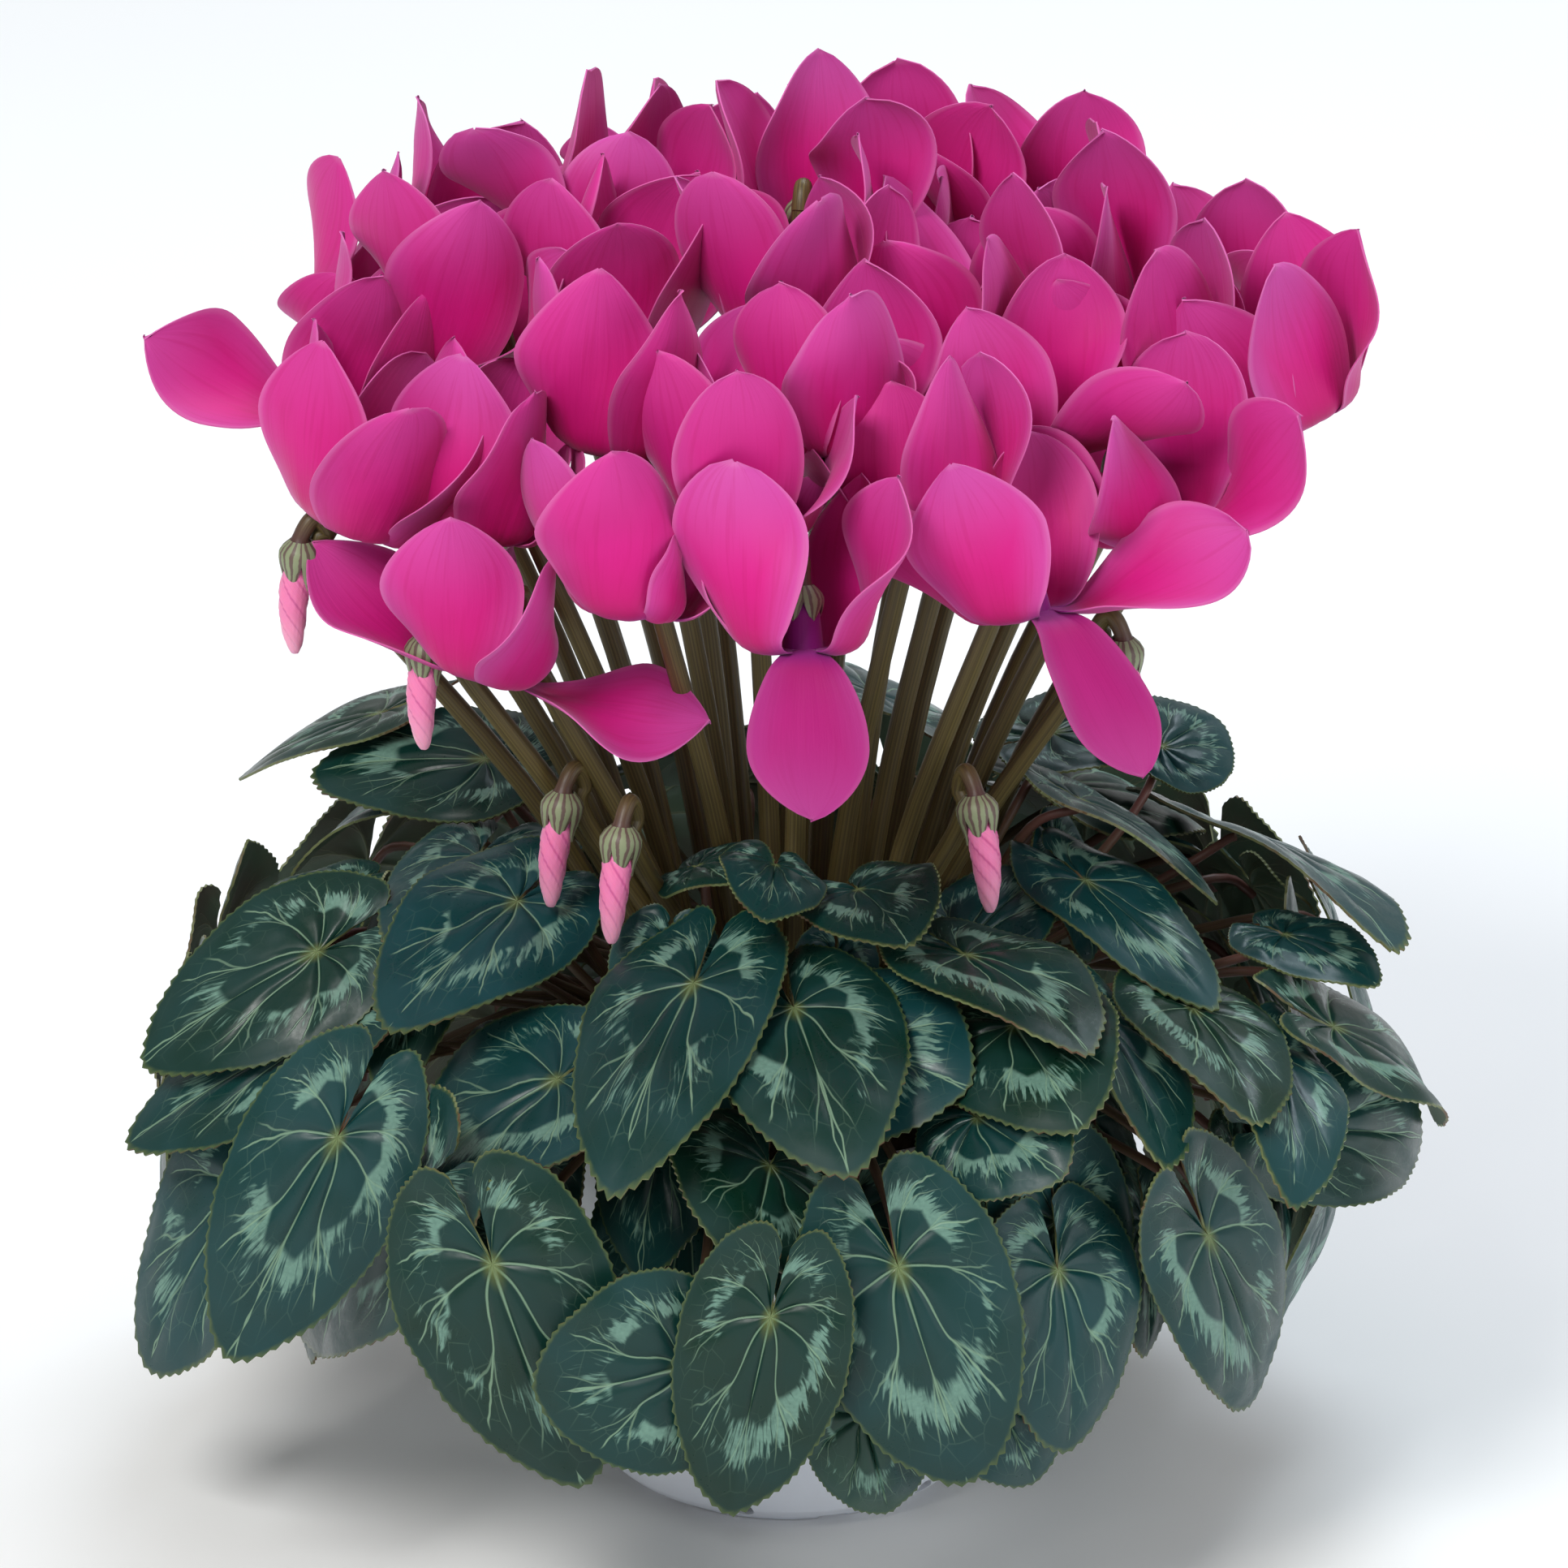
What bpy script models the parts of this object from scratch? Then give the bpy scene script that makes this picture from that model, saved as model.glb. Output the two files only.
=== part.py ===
"""Potted florist's cyclamen.

A white nursery pot holds compost and a half-buried corm. Heart-shaped toothed leaves hang over the rim in shingled
layers, and hooked stalks carry a dome of magenta blooms with five swept-back petals each, with a few closed buds.

Sizes are in millimetres and every mesh is turned into metres when it is made. The pot's foot stands on z = 0 and its
axis is the Z axis. The plant's front looks along -Y.

Leaves, petals and stalks are placed one after the other: each one that would cross an earlier one is bent clear.
"""

import math

import bmesh
import bpy
import numpy as np
from mathutils import Matrix, Vector
from mathutils.bvhtree import BVHTree

MM = 0.001
LEAF_SEED = 7
PETAL_SEED = 4
GAP = 0.3

# Pot and what it holds
POT_HEIGHT = 115.0
POT_RIM_RADIUS = 70.0
POT_RIM_BAND = 9.0
POT_BASE_RADIUS = 50.5
POT_FOOT_RADIUS = 40.5
POT_FOOT_STEP = 2.8
POT_WALL = 1.6
POT_TURNS = 20
DRAIN_HOLES = 6
DRAIN_HOLE_RADIUS = 2.6
FOOT_SCALLOPS = 6
FOOT_SCALLOP_RADIUS = 5.0
COMPOST_TOP = 101.0
CORM_TOP = 105.5
CORM_RADIUS = 44.0
CORM_SHOULDER = 39.5
CROWN_RADIUS = 31.0
CROWN_TOP = 111.0

# Stalks
STALK_RADIUS = 2.8
STALK_TIP_RADIUS = 2.0
STALK_SIDES_RESOLUTION = 0
HOOK_RISE = 21.5
CALYX_DROP = 12.6
CALYX_RADIUS = 4.6
ROOT_SPREAD = 0.23
ROOT_LIMIT = 27.0
ROOT_SPACING = 6.6
STALK_SPLAY = 1.4

# Blooms
TUBE_RADIUS = 5.2
TUBE_TOP_RADIUS = 4.0
TUBE_LENGTH = 12.3
PETAL_SPAN = math.radians(27.0)
PETAL_LENGTH = 52.0
PETAL_HALF_WIDTH = 15.4
PETAL_THICKNESS = 0.8
PETAL_SEATS = (0.0, 64.0, -64.0, 128.0, -128.0)
PETAL_ORDER = (0, 3, 4, 1, 2)
PETAL_BROAD = 0.6
PETAL_STEPS = 60
PETAL_ROWS = (0.0, 0.19, 0.56, 0.85, 1.0)
PETAL_COLUMNS = (-1.0, 1.0)
PETAL_TRIES = 110

# Buds
BUD_LENGTH = 27.0
BUD_RADIUS = 4.3

# Leaves
LEAF_THICKNESS = 0.8
LEAF_SPOKES = 16
LEAF_INNER_RING = 0.56
TOOTH_DEPTH = 0.03
PETIOLE_RADIUS = 1.35
PETIOLE_TIP_RADIUS = 1.15
PETIOLE_STEPS = 3
LEAF_GROUPS = 20
LEAF_TRIES = 220
ROUTE_TRIES = 14
FOOT_RING = 37.0
FOOT_HALF_HEIGHT = 1.7
FOOT_HALF_DEPTH = 2.1
FOOT_SPACING = 2.1
CLEARANCE = 0.4

# The front is read from a little above: a place is given across and up the view, and its depth is found on the
# foliage dome, whose radius at each height follows.
VIEW_TILT = math.radians(23.0)
DOME_HEIGHTS = (25.0, 42.0, 60.0, 85.0, 108.0, 130.0, 150.0, 166.0, 178.0, 188.0, 196.0)
DOME_RADII = (124.0, 134.0, 146.0, 160.0, 166.0, 157.0, 137.0, 113.0, 90.0, 68.0, 46.0)

# Leaves of the front, top ones first: where the stalk joins and where the tip lies, across and up the view, then the
# width, and the depth where the leaf stands behind the flower stalks.
FRONT_LEAVES = (
    (-20, 155, 2, 147, 28, None),
    (4, 146, 0, 129, 27, None),
    (25, 147, 39, 124, 36, None),
    (-35, 138, -49, 87, 60, None),
    (41, 126, 67, 91, 43, None),
    (2, 116, 16, 70, 50, None),
    (-63, 143, -95, 104, 43, None),
    (-83, 158, -100, 121, 36, None),
    (70, 164, 110, 151, 43, None),
    (51, 146, 73, 160, 32, None),
    (76, 150, 106, 117, 32, None),
    (-58, 98, -100, 79, 58, None),
    (118, 129, 139, 113, 34, None),
    (111, 157, 141, 114, 46, None),
    (-98, 143, -110, 103, 35, None),
    (-112, 123, -154, 95, 46, None),
    (-100, 86, -125, 30, 52, None),
    (75, 116, 90, 75, 40, None),
    (131, 108, 172, 98, 40, None),
    (-15, 121, -33, 57, 54, None),
    (13, 108, 43, 96, 54, None),
    (48, 107, 66, 77, 46, None),
    (102, 115, 112, 78, 42, None),
    (72, 59, 75, -2, 54, None),
    (-3, 44, -14, -11, 52, None),
    (27, 56, 44, 3, 52, None),
    (-71, 57, -50, 1, 56, None),
    (-139, 71, -163, 26, 48, None),
    (117, 106, 113, 54, 40, None),
    (130, 87, 164, 84, 38, None),
    (2, 79, -8, 52, 52, None),
    (-104, 63, -146, 29, 54, None),
    (-26, 29, -62, 22, 54, None),
    (106, 61, 119, 18, 40, None),
    (45, 88, 68, 71, 40, None),
    (19, 16, 27, -14, 38, None),
    (50, 26, 62, 0, 36, None),
    (-118, 112, -158, 79, 42, None),
    (-115, 148, -140, 134, 36, None),
    (128, 150, 150, 122, 38, None),
    (-77, 180, -120, 176, 42, 30),
    (-56, 180, -88, 171, 36, 20),
    (-98, 184, -134, 170, 42, 62),
    (98, 172, 114, 184, 34, 40),
    (69, 188, 106, 192, 38, 55),
    (92, 190, 122, 178, 40, 84),
)
# Leaves of the back, by rule: rows of azimuth start and end, count, height of the junction and length.
BACK_ROWS = (
    (28.0, 152.0, 6, 164.0, 50.0),
    (-10.0, 190.0, 10, 124.0, 62.0),
    (-22.0, 202.0, 10, 84.0, 64.0),
)

# Blooms: the mouth of the corolla (across, back, up), and the petals that hang or lie out, as seat and angle from
# the upright. Seats count round from the outer side.
BLOOMS = (
    (-74, -57, 244, ((4, 92), (1, 66))),
    (-38, -74, 268, ()),
    (4, -88, 264, ((0, 150),)),
    (61, -74, 268, ((0, 152), (2, 80))),
    (92, -34, 274, ((0, 62),)),
    (131, 12, 288, ()),
    (-108, -36, 276, ()),
    (-112, 10, 286, ((0, 84),)),
    (-76, -40, 276, ()),
    (-10, -62, 284, ()),
    (38, -54, 280, ()),
    (-42, -36, 297, ()),
    (13, -42, 300, ()),
    (58, -20, 290, ((0, 72),)),
    (97, 14, 292, ()),
    (74, 54, 297, ()),
    (50, 14, 303, ()),
    (3, 0, 313, ()),
    (-42, 12, 307, ()),
    (-83, 18, 300, ()),
    (-108, 56, 291, ()),
    (-86, 96, 288, ()),
    (-46, 62, 313, ()),
    (5, 54, 315, ()),
    (26, 102, 295, ()),
    (68, 98, 292, ()),
    (-32, 110, 290, ()),
    (110, 66, 278, ()),
    (-62, 132, 260, ()),
    (12, 138, 258, ((0, 110),)),
)
BLOOM_CENTRE = (0.0, 20.0)

# Closed buds: where the calyx ends (across, back, up) and how far the bud leans out from straight down.
BUDS = (
    (-123, -34, 268, 4.0),
    (-91, -54, 250, 2.0),
    (-57, -46, 204, 10.0),
    (-42, -66, 203, 12.0),
    (48, -60, 209, 14.0),
    (85, -36, 242, 2.0),
)


def unit(v):
    """The vector at length one."""
    return v / np.linalg.norm(v)


def smooth(x):
    """A soft step from 0 to 1."""
    x = np.clip(x, 0.0, 1.0)
    return x * x * (3.0 - 2.0 * x)


def dome_radius(height):
    """Radius of the foliage dome at a height."""
    return np.interp(height, DOME_HEIGHTS, DOME_RADII)


def sight(across, up, depth):
    """The point at this depth that is seen at this place of the view."""
    return np.array([across, depth, (up - depth * math.sin(VIEW_TILT)) / math.cos(VIEW_TILT)])


def on_dome(across, up, inset):
    """The point nearest the front where the line of sight meets the foliage dome, sunk by an inset."""
    depths = np.arange(-190.0, 60.0, 1.0)
    heights = (up - depths * math.sin(VIEW_TILT)) / math.cos(VIEW_TILT)
    outside = np.hypot(across, depths) - (dome_radius(heights) - inset)
    inside = np.nonzero(outside <= 0.0)[0]
    first = inside[0] if len(inside) else int(np.argmin(outside))
    return sight(across, up, depths[first])


def dome_normal(point):
    """The outward direction of the foliage dome near a point."""
    slope = (dome_radius(point[2] + 6.0) - dome_radius(point[2] - 6.0)) / 12.0
    r = max(math.hypot(point[0], point[1]), 1e-6)
    return unit(np.array([point[0] / r, point[1] / r, max(-slope, -0.15)]))


def curve_through(points, steps):
    """A smooth run of points through the given ones (Catmull-Rom), steps to each span."""
    p = [2.0 * points[0] - points[1], *points, 2.0 * points[-1] - points[-2]]
    run = []
    for i in range(1, len(p) - 2):
        for k in range(steps):
            t = k / steps
            a = 2.0 * p[i]
            b = (p[i + 1] - p[i - 1]) * t
            c = (2.0 * p[i - 1] - 5.0 * p[i] + 4.0 * p[i + 1] - p[i + 2]) * t * t
            d = (3.0 * p[i] - p[i - 1] - 3.0 * p[i + 1] + p[i + 2]) * t**3
            run.append(0.5 * (a + b + c + d))
    run.append(p[-2])
    return np.array(run)


def tube_shell(path, radius):
    """A thin four-sided sleeve round a path, as points and faces, for the clearance tests."""
    path = np.asarray(path)
    along = np.gradient(path, axis=0)
    along /= np.linalg.norm(along, axis=1, keepdims=True)
    steep = (np.abs(along[:, 2]) >= 0.9)[:, None]
    side = np.cross(along, np.where(steep, (1.0, 0.2, 0.0), (0.31, 0.57, 0.76)))
    side /= np.linalg.norm(side, axis=1, keepdims=True)
    other = np.cross(along, side)
    points = np.stack([path + radius * side, path + radius * other, path - radius * side, path - radius * other], axis=1)
    faces = []
    for i in range(len(path) - 1):
        for k in range(4):
            a = 4 * i + k
            b = 4 * i + (k + 1) % 4
            faces.append((a, b, b + 4, a + 4))
    return points.reshape(-1, 3), faces


def sheet_shell(grid, half):
    """Two skins either side of a grid of points, closed at the edges, for the clearance tests.

    A bent quad may be split either way, so both ways are tested.
    """
    rows, columns = grid.shape[:2]
    du = np.gradient(grid, axis=1)
    dv = np.gradient(grid, axis=0)
    normal = np.cross(du, dv)
    length = np.linalg.norm(normal, axis=2, keepdims=True)
    normal = normal / np.maximum(length, 1e-9)
    if rows > 2:
        normal[0] = normal[1]
        normal[-1] = normal[-2]
    points = np.concatenate([(grid + half * normal).reshape(-1, 3), (grid - half * normal).reshape(-1, 3)])
    faces = []
    for skin in (0, rows * columns):
        for i in range(rows - 1):
            for j in range(columns - 1):
                a = skin + i * columns + j
                b = a + columns
                faces += [(a, a + 1, b + 1), (a, b + 1, b), (a, a + 1, b), (a + 1, b + 1, b)]
    around = [(i, 0) for i in range(rows)] + [(rows - 1, j) for j in range(1, columns)]
    around += [(i, columns - 1) for i in range(rows - 2, -1, -1)]
    rim = [i * columns + j for i, j in around]
    for a, b in zip(rim, rim[1:]):
        faces.append((a, b, b + rows * columns, a + rows * columns))
    return points, faces


class Clearance:
    """What has been placed so far, and whether a new shape would cross it."""

    def __init__(self):
        self.labels = []
        self.trees = []
        self.lows = np.empty((0, 3))
        self.highs = np.empty((0, 3))

    @staticmethod
    def tree(points, faces):
        """A search tree of a shell, with its box."""
        return BVHTree.FromPolygons(points.tolist(), faces), points.min(axis=0), points.max(axis=0)

    def crosses(self, shell, kin=None):
        """Whether the shell crosses any placed shape, apart from those labelled as its kin."""
        tree, low, high = shell
        near = ((self.lows <= high) & (self.highs >= low)).all(axis=1)
        for i in np.nonzero(near)[0]:
            if self.labels[i] != kin and tree.overlap(self.trees[i]):
                return True
        return False

    def add(self, label, shell):
        """Keeps a shell as placed."""
        self.labels.append(label)
        self.trees.append(shell[0])
        self.lows = np.vstack([self.lows, shell[1]])
        self.highs = np.vstack([self.highs, shell[2]])


def new_object(name, mesh, collection):
    """An object of a mesh in a collection."""
    obj = bpy.data.objects.new(name, mesh)
    collection.objects.link(obj)
    return obj


def mesh_from(bm, name, collection):
    """Turns a bmesh in millimetres into an object in metres."""
    bmesh.ops.scale(bm, verts=bm.verts, vec=(MM, MM, MM))
    bmesh.ops.recalc_face_normals(bm, faces=bm.faces)
    mesh = bpy.data.meshes.new(name)
    bm.to_mesh(mesh)
    bm.free()
    return new_object(name, mesh, collection)


def apply_modifiers(obj):
    """Applies the object's modifiers."""
    bpy.context.view_layer.objects.active = obj
    for modifier in list(obj.modifiers):
        with bpy.context.temp_override(object=obj, active_object=obj, selected_objects=[obj]):
            bpy.ops.object.modifier_apply(modifier=modifier.name)


def turned(name, profile, collection, turns):
    """A closed or axis-to-axis profile of (radius, height), turned round the pot's axis."""
    bm = bmesh.new()
    corners = [bm.verts.new((r, 0.0, z)) for r, z in profile]
    for a, b in zip(corners, corners[1:]):
        bm.edges.new((a, b))
    if profile[0][0] > 0.0:
        bm.edges.new((corners[-1], corners[0]))
    bmesh.ops.scale(bm, verts=bm.verts, vec=(MM, MM, MM))
    mesh = bpy.data.meshes.new(name)
    bm.to_mesh(mesh)
    bm.free()
    obj = new_object(name, mesh, collection)
    screw = obj.modifiers.new("Turn", "SCREW")
    screw.steps = turns
    screw.render_steps = turns
    screw.use_merge_vertices = True
    screw.merge_threshold = 0.00001
    apply_modifiers(obj)
    return obj


def tube_object(name, path, radii, collection):
    """A tapered round stem along a path, closed at both ends, as a mesh."""
    curve = bpy.data.curves.new(name, "CURVE")
    curve.dimensions = "3D"
    curve.bevel_depth = MM
    curve.bevel_resolution = STALK_SIDES_RESOLUTION
    curve.use_fill_caps = True
    spline = curve.splines.new("POLY")
    spline.points.add(len(path) - 1)
    for point, place, radius in zip(spline.points, path, radii):
        point.co = (*(place * MM), 1.0)
        point.radius = radius
    guide = new_object(name + "_guide", curve, collection)
    bpy.context.view_layer.update()
    graph = bpy.context.evaluated_depsgraph_get()
    mesh = bpy.data.meshes.new_from_object(guide.evaluated_get(graph))
    bm = bmesh.new()
    bm.from_mesh(mesh)
    bmesh.ops.remove_doubles(bm, verts=bm.verts, dist=0.000001)
    bmesh.ops.recalc_face_normals(bm, faces=bm.faces)
    bm.to_mesh(mesh)
    bm.free()
    obj = new_object(name, mesh, collection)
    obj.matrix_world = guide.matrix_world.copy()
    bpy.data.objects.remove(guide)
    return obj


def cone_object(name, base, top, base_radius, top_radius, sides, collection):
    """A frustum from one point to another."""
    axis = top - base
    bm = bmesh.new()
    turn = Vector((0.0, 0.0, 1.0)).rotation_difference(Vector(axis)).to_matrix().to_4x4()
    place = Matrix.Translation(Vector((base + top) / 2.0)) @ turn
    bmesh.ops.create_cone(
        bm,
        cap_ends=True,
        segments=sides,
        radius1=base_radius,
        radius2=top_radius,
        depth=float(np.linalg.norm(axis)),
        matrix=place,
    )
    return mesh_from(bm, name, collection)


def joined(name, pieces, collection, scratch):
    """The first piece with all the others joined to it, as one body named for the node."""
    first, *others = pieces
    scratch.objects.unlink(first)
    collection.objects.link(first)
    bpy.context.view_layer.update()
    union = first.modifiers.new("Join", "BOOLEAN")
    union.operation = "UNION"
    union.operand_type = "COLLECTION"
    union.collection = scratch
    union.solver = "EXACT"
    apply_modifiers(first)
    for piece in others:
        bpy.data.objects.remove(piece)
    first.name = name
    first.data.name = name
    return first


def finish(obj, colour, roughness):
    """Gives a piece its own material."""
    material = bpy.data.materials.new(obj.name)
    material.use_nodes = True
    shader = material.node_tree.nodes["Principled BSDF"]
    shader.inputs["Base Color"].default_value = (*colour, 1.0)
    shader.inputs["Roughness"].default_value = roughness
    shader.inputs["Metallic"].default_value = 0.0
    obj.data.materials.clear()
    obj.data.materials.append(material)
    material.diffuse_color = (*colour, 1.0)


# Flower stalks, blooms and buds


def flower_frame(x, y, z, dip):
    """Mouth, axis out of the mouth, outer side and cross direction of a flower."""
    heading = math.atan2(y - BLOOM_CENTRE[1], x - BLOOM_CENTRE[0])
    flat = np.array([math.cos(heading), math.sin(heading), 0.0])
    down = np.array([0.0, 0.0, -1.0])
    axis = math.cos(dip) * flat + math.sin(dip) * down
    outer = math.sin(dip) * flat - math.cos(dip) * down
    return np.array([x, y, z], float), axis, outer, np.cross(axis, outer)


def bloom_dip(row):
    """Angle of a bloom's axis below level: the middle ones hang straightest."""
    reach = math.hypot(row[0] - BLOOM_CENTRE[0], row[1] - BLOOM_CENTRE[1])
    return math.radians(86.0 - 16.0 * min(reach / 125.0, 1.0))


def stalk_roots(tops):
    """Roots of the stalks on the crown, in the order of the flowers, pushed apart evenly."""
    centre = np.array(BLOOM_CENTRE)
    roots = (np.array(tops)[:, :2] - centre) * ROOT_SPREAD
    for _ in range(200):
        for i in range(len(roots)):
            for j in range(i):
                between = roots[i] - roots[j]
                far = np.linalg.norm(between)
                if far < ROOT_SPACING:
                    push = unit(between) * (ROOT_SPACING - far) * 0.5
                    roots[i] += push
                    roots[j] -= push
        lengths = np.linalg.norm(roots, axis=1, keepdims=True)
        roots *= np.minimum(1.0, ROOT_LIMIT / np.maximum(lengths, 1e-6))
    return roots


def stalk_path(root, frame):
    """The stalk from the crown up beside the flower, over the hook and down into the calyx."""
    mouth, axis, outer, _ = frame
    foot = np.array([root[0], root[1], CROWN_TOP - 3.0])
    beside = mouth - outer * 9.8 - axis * 7.0
    run = []
    for share in (0.0, 0.5, 1.0):
        flat = share**STALK_SPLAY
        run.append(foot + (beside - foot) * np.array([flat, flat, share]))
    return run + [
        mouth - outer * 7.4 - axis * 17.0,
        mouth - outer * 3.4 - axis * HOOK_RISE,
        mouth - axis * (CALYX_DROP + 4.4),
        mouth - axis * CALYX_DROP,
    ]


def petal_half_width(q, half_width):
    """Half width of a petal at shares of its length: a narrow claw, broad past the middle, a blunt point."""
    q = np.asarray(q)
    claw = half_width * (0.2 + 0.8 * np.sin(0.5 * math.pi * np.minimum(q / PETAL_BROAD, 1.0)) ** 1.8)
    point = np.clip((q - PETAL_BROAD) / (1.0 - PETAL_BROAD), 0.0, 1.0)
    blunt = half_width * (1.0 - point**2.1) ** 0.72
    half = np.where(q <= PETAL_BROAD, claw, blunt)
    return np.where(q <= 0.0, TUBE_RADIUS * math.sin(PETAL_SPAN), half)


def petal_grid(frame, shape, rows, columns):
    """Points of a petal's middle surface, one row of columns for each share of the length."""
    mouth, axis, outer, cross = frame
    seat, lean, tip_lean, twist, length, width, cup = shape
    out = math.cos(seat) * outer + math.sin(seat) * cross
    rim = np.cross(-axis, out)
    q = np.arange(PETAL_STEPS + 1) / PETAL_STEPS
    turn = smooth(q * length / 15.0)
    angle = (1.0 - turn) * math.radians(104.0) + turn * lean + (tip_lean - lean) * q**1.5
    along = np.sin(angle)[:, None] * out - np.cos(angle)[:, None] * axis
    start = mouth + out * TUBE_RADIUS * math.cos(PETAL_SPAN)
    centre = start + np.vstack([np.zeros(3), np.cumsum(along[:-1], axis=0)]) * (length / PETAL_STEPS)
    at = np.rint(np.asarray(rows) * PETAL_STEPS).astype(int)
    along = along[at]
    half = petal_half_width(rows, width)[:, None, None]
    turned_by = (twist * smooth(np.asarray(rows) * 1.15))[:, None]
    face = np.cross(along, rim)
    side = np.cos(turned_by) * rim + np.sin(turned_by) * face
    normal = np.cross(along, side)
    t = np.asarray(columns)[None, :, None]
    fade = ((1.0 - 0.35 * np.asarray(rows)) * smooth(np.asarray(rows) * 4.0))[:, None, None]
    bend = cup * half * (t * t - 0.33) * fade
    return centre[at][:, None, :] + side[:, None, :] * half * t + normal[:, None, :] * bend


def thickened(name, bm, thickness, collection):
    """An open surface made a closed blade with a Solidify modifier."""
    mesh = bpy.data.meshes.new(name)
    bm.to_mesh(mesh)
    bm.free()
    obj = new_object(name, mesh, collection)
    solidify = obj.modifiers.new("Thickness", "SOLIDIFY")
    solidify.thickness = thickness * MM
    solidify.offset = 0.0
    apply_modifiers(obj)
    bm = bmesh.new()
    bm.from_mesh(obj.data)
    bmesh.ops.triangulate(bm, faces=bm.faces)
    bmesh.ops.recalc_face_normals(bm, faces=bm.faces)
    if bm.calc_volume(signed=True) < 0.0:
        bmesh.ops.reverse_faces(bm, faces=bm.faces)
    bm.to_mesh(obj.data)
    bm.free()
    return obj


def corolla_object(name, frame, shapes, collection):
    """A corolla as one thin shell: a short closed-topped tube whose rim runs on into the petals."""
    mouth, axis, outer, cross = frame
    bm = bmesh.new()
    count = 2 * len(shapes)
    made = bmesh.ops.create_cone(bm, segments=count, radius1=1.0, radius2=1.0, depth=1.0, cap_ends=True)
    rim = sorted((v for v in made["verts"] if v.co.z < 0.0), key=lambda v: math.atan2(v.co.y, v.co.x))
    top = sorted((v for v in made["verts"] if v.co.z > 0.0), key=lambda v: math.atan2(v.co.y, v.co.x))
    floor = [f for f in bm.faces if all(v.co.z < 0.0 for v in f.verts)]
    bmesh.ops.delete(bm, geom=floor, context="FACES_ONLY")
    angles = sorted(shape[0] + side * PETAL_SPAN for shape in shapes for side in (-1.0, 1.0))
    for angle, low, high in zip(angles, rim, top):
        out = math.cos(angle) * outer + math.sin(angle) * cross
        low.co = mouth + out * TUBE_RADIUS
        high.co = mouth + out * TUBE_TOP_RADIUS - axis * (TUBE_LENGTH - PETAL_THICKNESS / 2.0)
    for shape in shapes:
        grid = petal_grid(frame, shape, PETAL_ROWS, PETAL_COLUMNS)
        columns = len(PETAL_COLUMNS)
        petal = bmesh.ops.create_grid(bm, x_segments=columns - 1, y_segments=len(PETAL_ROWS) - 1, size=0.5)
        for vert in petal["verts"]:
            j = int(round((vert.co.x + 0.5) * (columns - 1)))
            i = int(round((vert.co.y + 0.5) * (len(PETAL_ROWS) - 1)))
            vert.co = grid[i, j]
    bmesh.ops.remove_doubles(bm, verts=bm.verts, dist=0.02)
    bmesh.ops.recalc_face_normals(bm, faces=bm.faces)
    bmesh.ops.triangulate(bm, faces=bm.faces, quad_method="SHORT_EDGE")
    bmesh.ops.scale(bm, verts=bm.verts, vec=(MM, MM, MM))
    bm.normal_update()
    return thickened(name, bm, PETAL_THICKNESS, collection)


def petal_choices(rng, seat, given):
    """Shapes to try for one petal, the wished one first."""
    upright = rng.uniform(4.0, 24.0) if abs(seat) < 90.0 else rng.uniform(12.0, 34.0)
    lean = math.radians(given if given else upright)
    tip = math.radians(given - 12.0 if given else rng.uniform(-6.0, 34.0))
    twist = math.radians(rng.uniform(24.0, 56.0) if not given else rng.uniform(-16.0, 16.0))
    length = PETAL_LENGTH * rng.uniform(0.95, 1.06)
    width = PETAL_HALF_WIDTH * rng.uniform(0.94, 1.08)
    cup = rng.uniform(0.12, 0.34)
    for k in range(PETAL_TRIES):
        shrink = 1.0 - 0.55 * max(0.0, (k - 50) / (PETAL_TRIES - 50))
        loose = min(1.0, k / 16.0)
        yield (
            math.radians(seat + loose * rng.uniform(-4.0, 4.0)),
            lean + loose * rng.uniform(-0.35, 0.5),
            tip + loose * rng.uniform(-0.6, 0.6),
            twist + loose * rng.uniform(-0.8, 0.8),
            length * (1.0 - loose * rng.uniform(0.0, 0.10)) * shrink,
            width * (1.0 - loose * rng.uniform(0.0, 0.12)) * (0.4 + 0.6 * shrink),
            cup,
        )


def place_petals(frames, clearance):
    """Shapes of all petals, each bent clear of the stalks and of the petals before it, or left out."""
    rng = np.random.default_rng(PETAL_SEED)
    shapes = [[] for _ in frames]
    for index, (mouth, axis, _, _) in enumerate(frames):
        tube = np.array([mouth + axis, mouth - axis * TUBE_LENGTH])
        clearance.add(f"tube_{index}", clearance.tree(*tube_shell(tube, TUBE_RADIUS * 1.2 + CLEARANCE)))
    for number in PETAL_ORDER:
        for index, frame in enumerate(frames):
            given = dict(BLOOMS[index][3]).get(number)
            for shape in petal_choices(rng, PETAL_SEATS[number], given):
                grid = petal_grid(frame, shape, PETAL_ROWS, PETAL_COLUMNS)
                claw = clearance.tree(*sheet_shell(grid[:2], PETAL_THICKNESS / 2.0 + CLEARANCE))
                blade = clearance.tree(*sheet_shell(grid[1:], PETAL_THICKNESS / 2.0 + CLEARANCE))
                own = f"tube_{index}"
                if not clearance.crosses(blade, own) and not clearance.crosses(claw, own):
                    clearance.add("petal", blade)
                    clearance.add(own, claw)
                    shapes[index].append(shape)
                    break
    return shapes


# Leaves


def leaf_radius(theta):
    """Outline of a leaf from the stalk's junction, as a share of the length to the tip: a heart with a blunt point."""
    turn = np.abs(theta)
    radius = 0.575 + 0.115 * np.cos(turn) + 0.31 * np.exp(-((turn / 0.55) ** 1.4))
    past = np.maximum(0.0, (np.degrees(turn) - 150.0) / 30.0)
    return radius * (1.0 - 0.45 * past * past)


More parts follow.
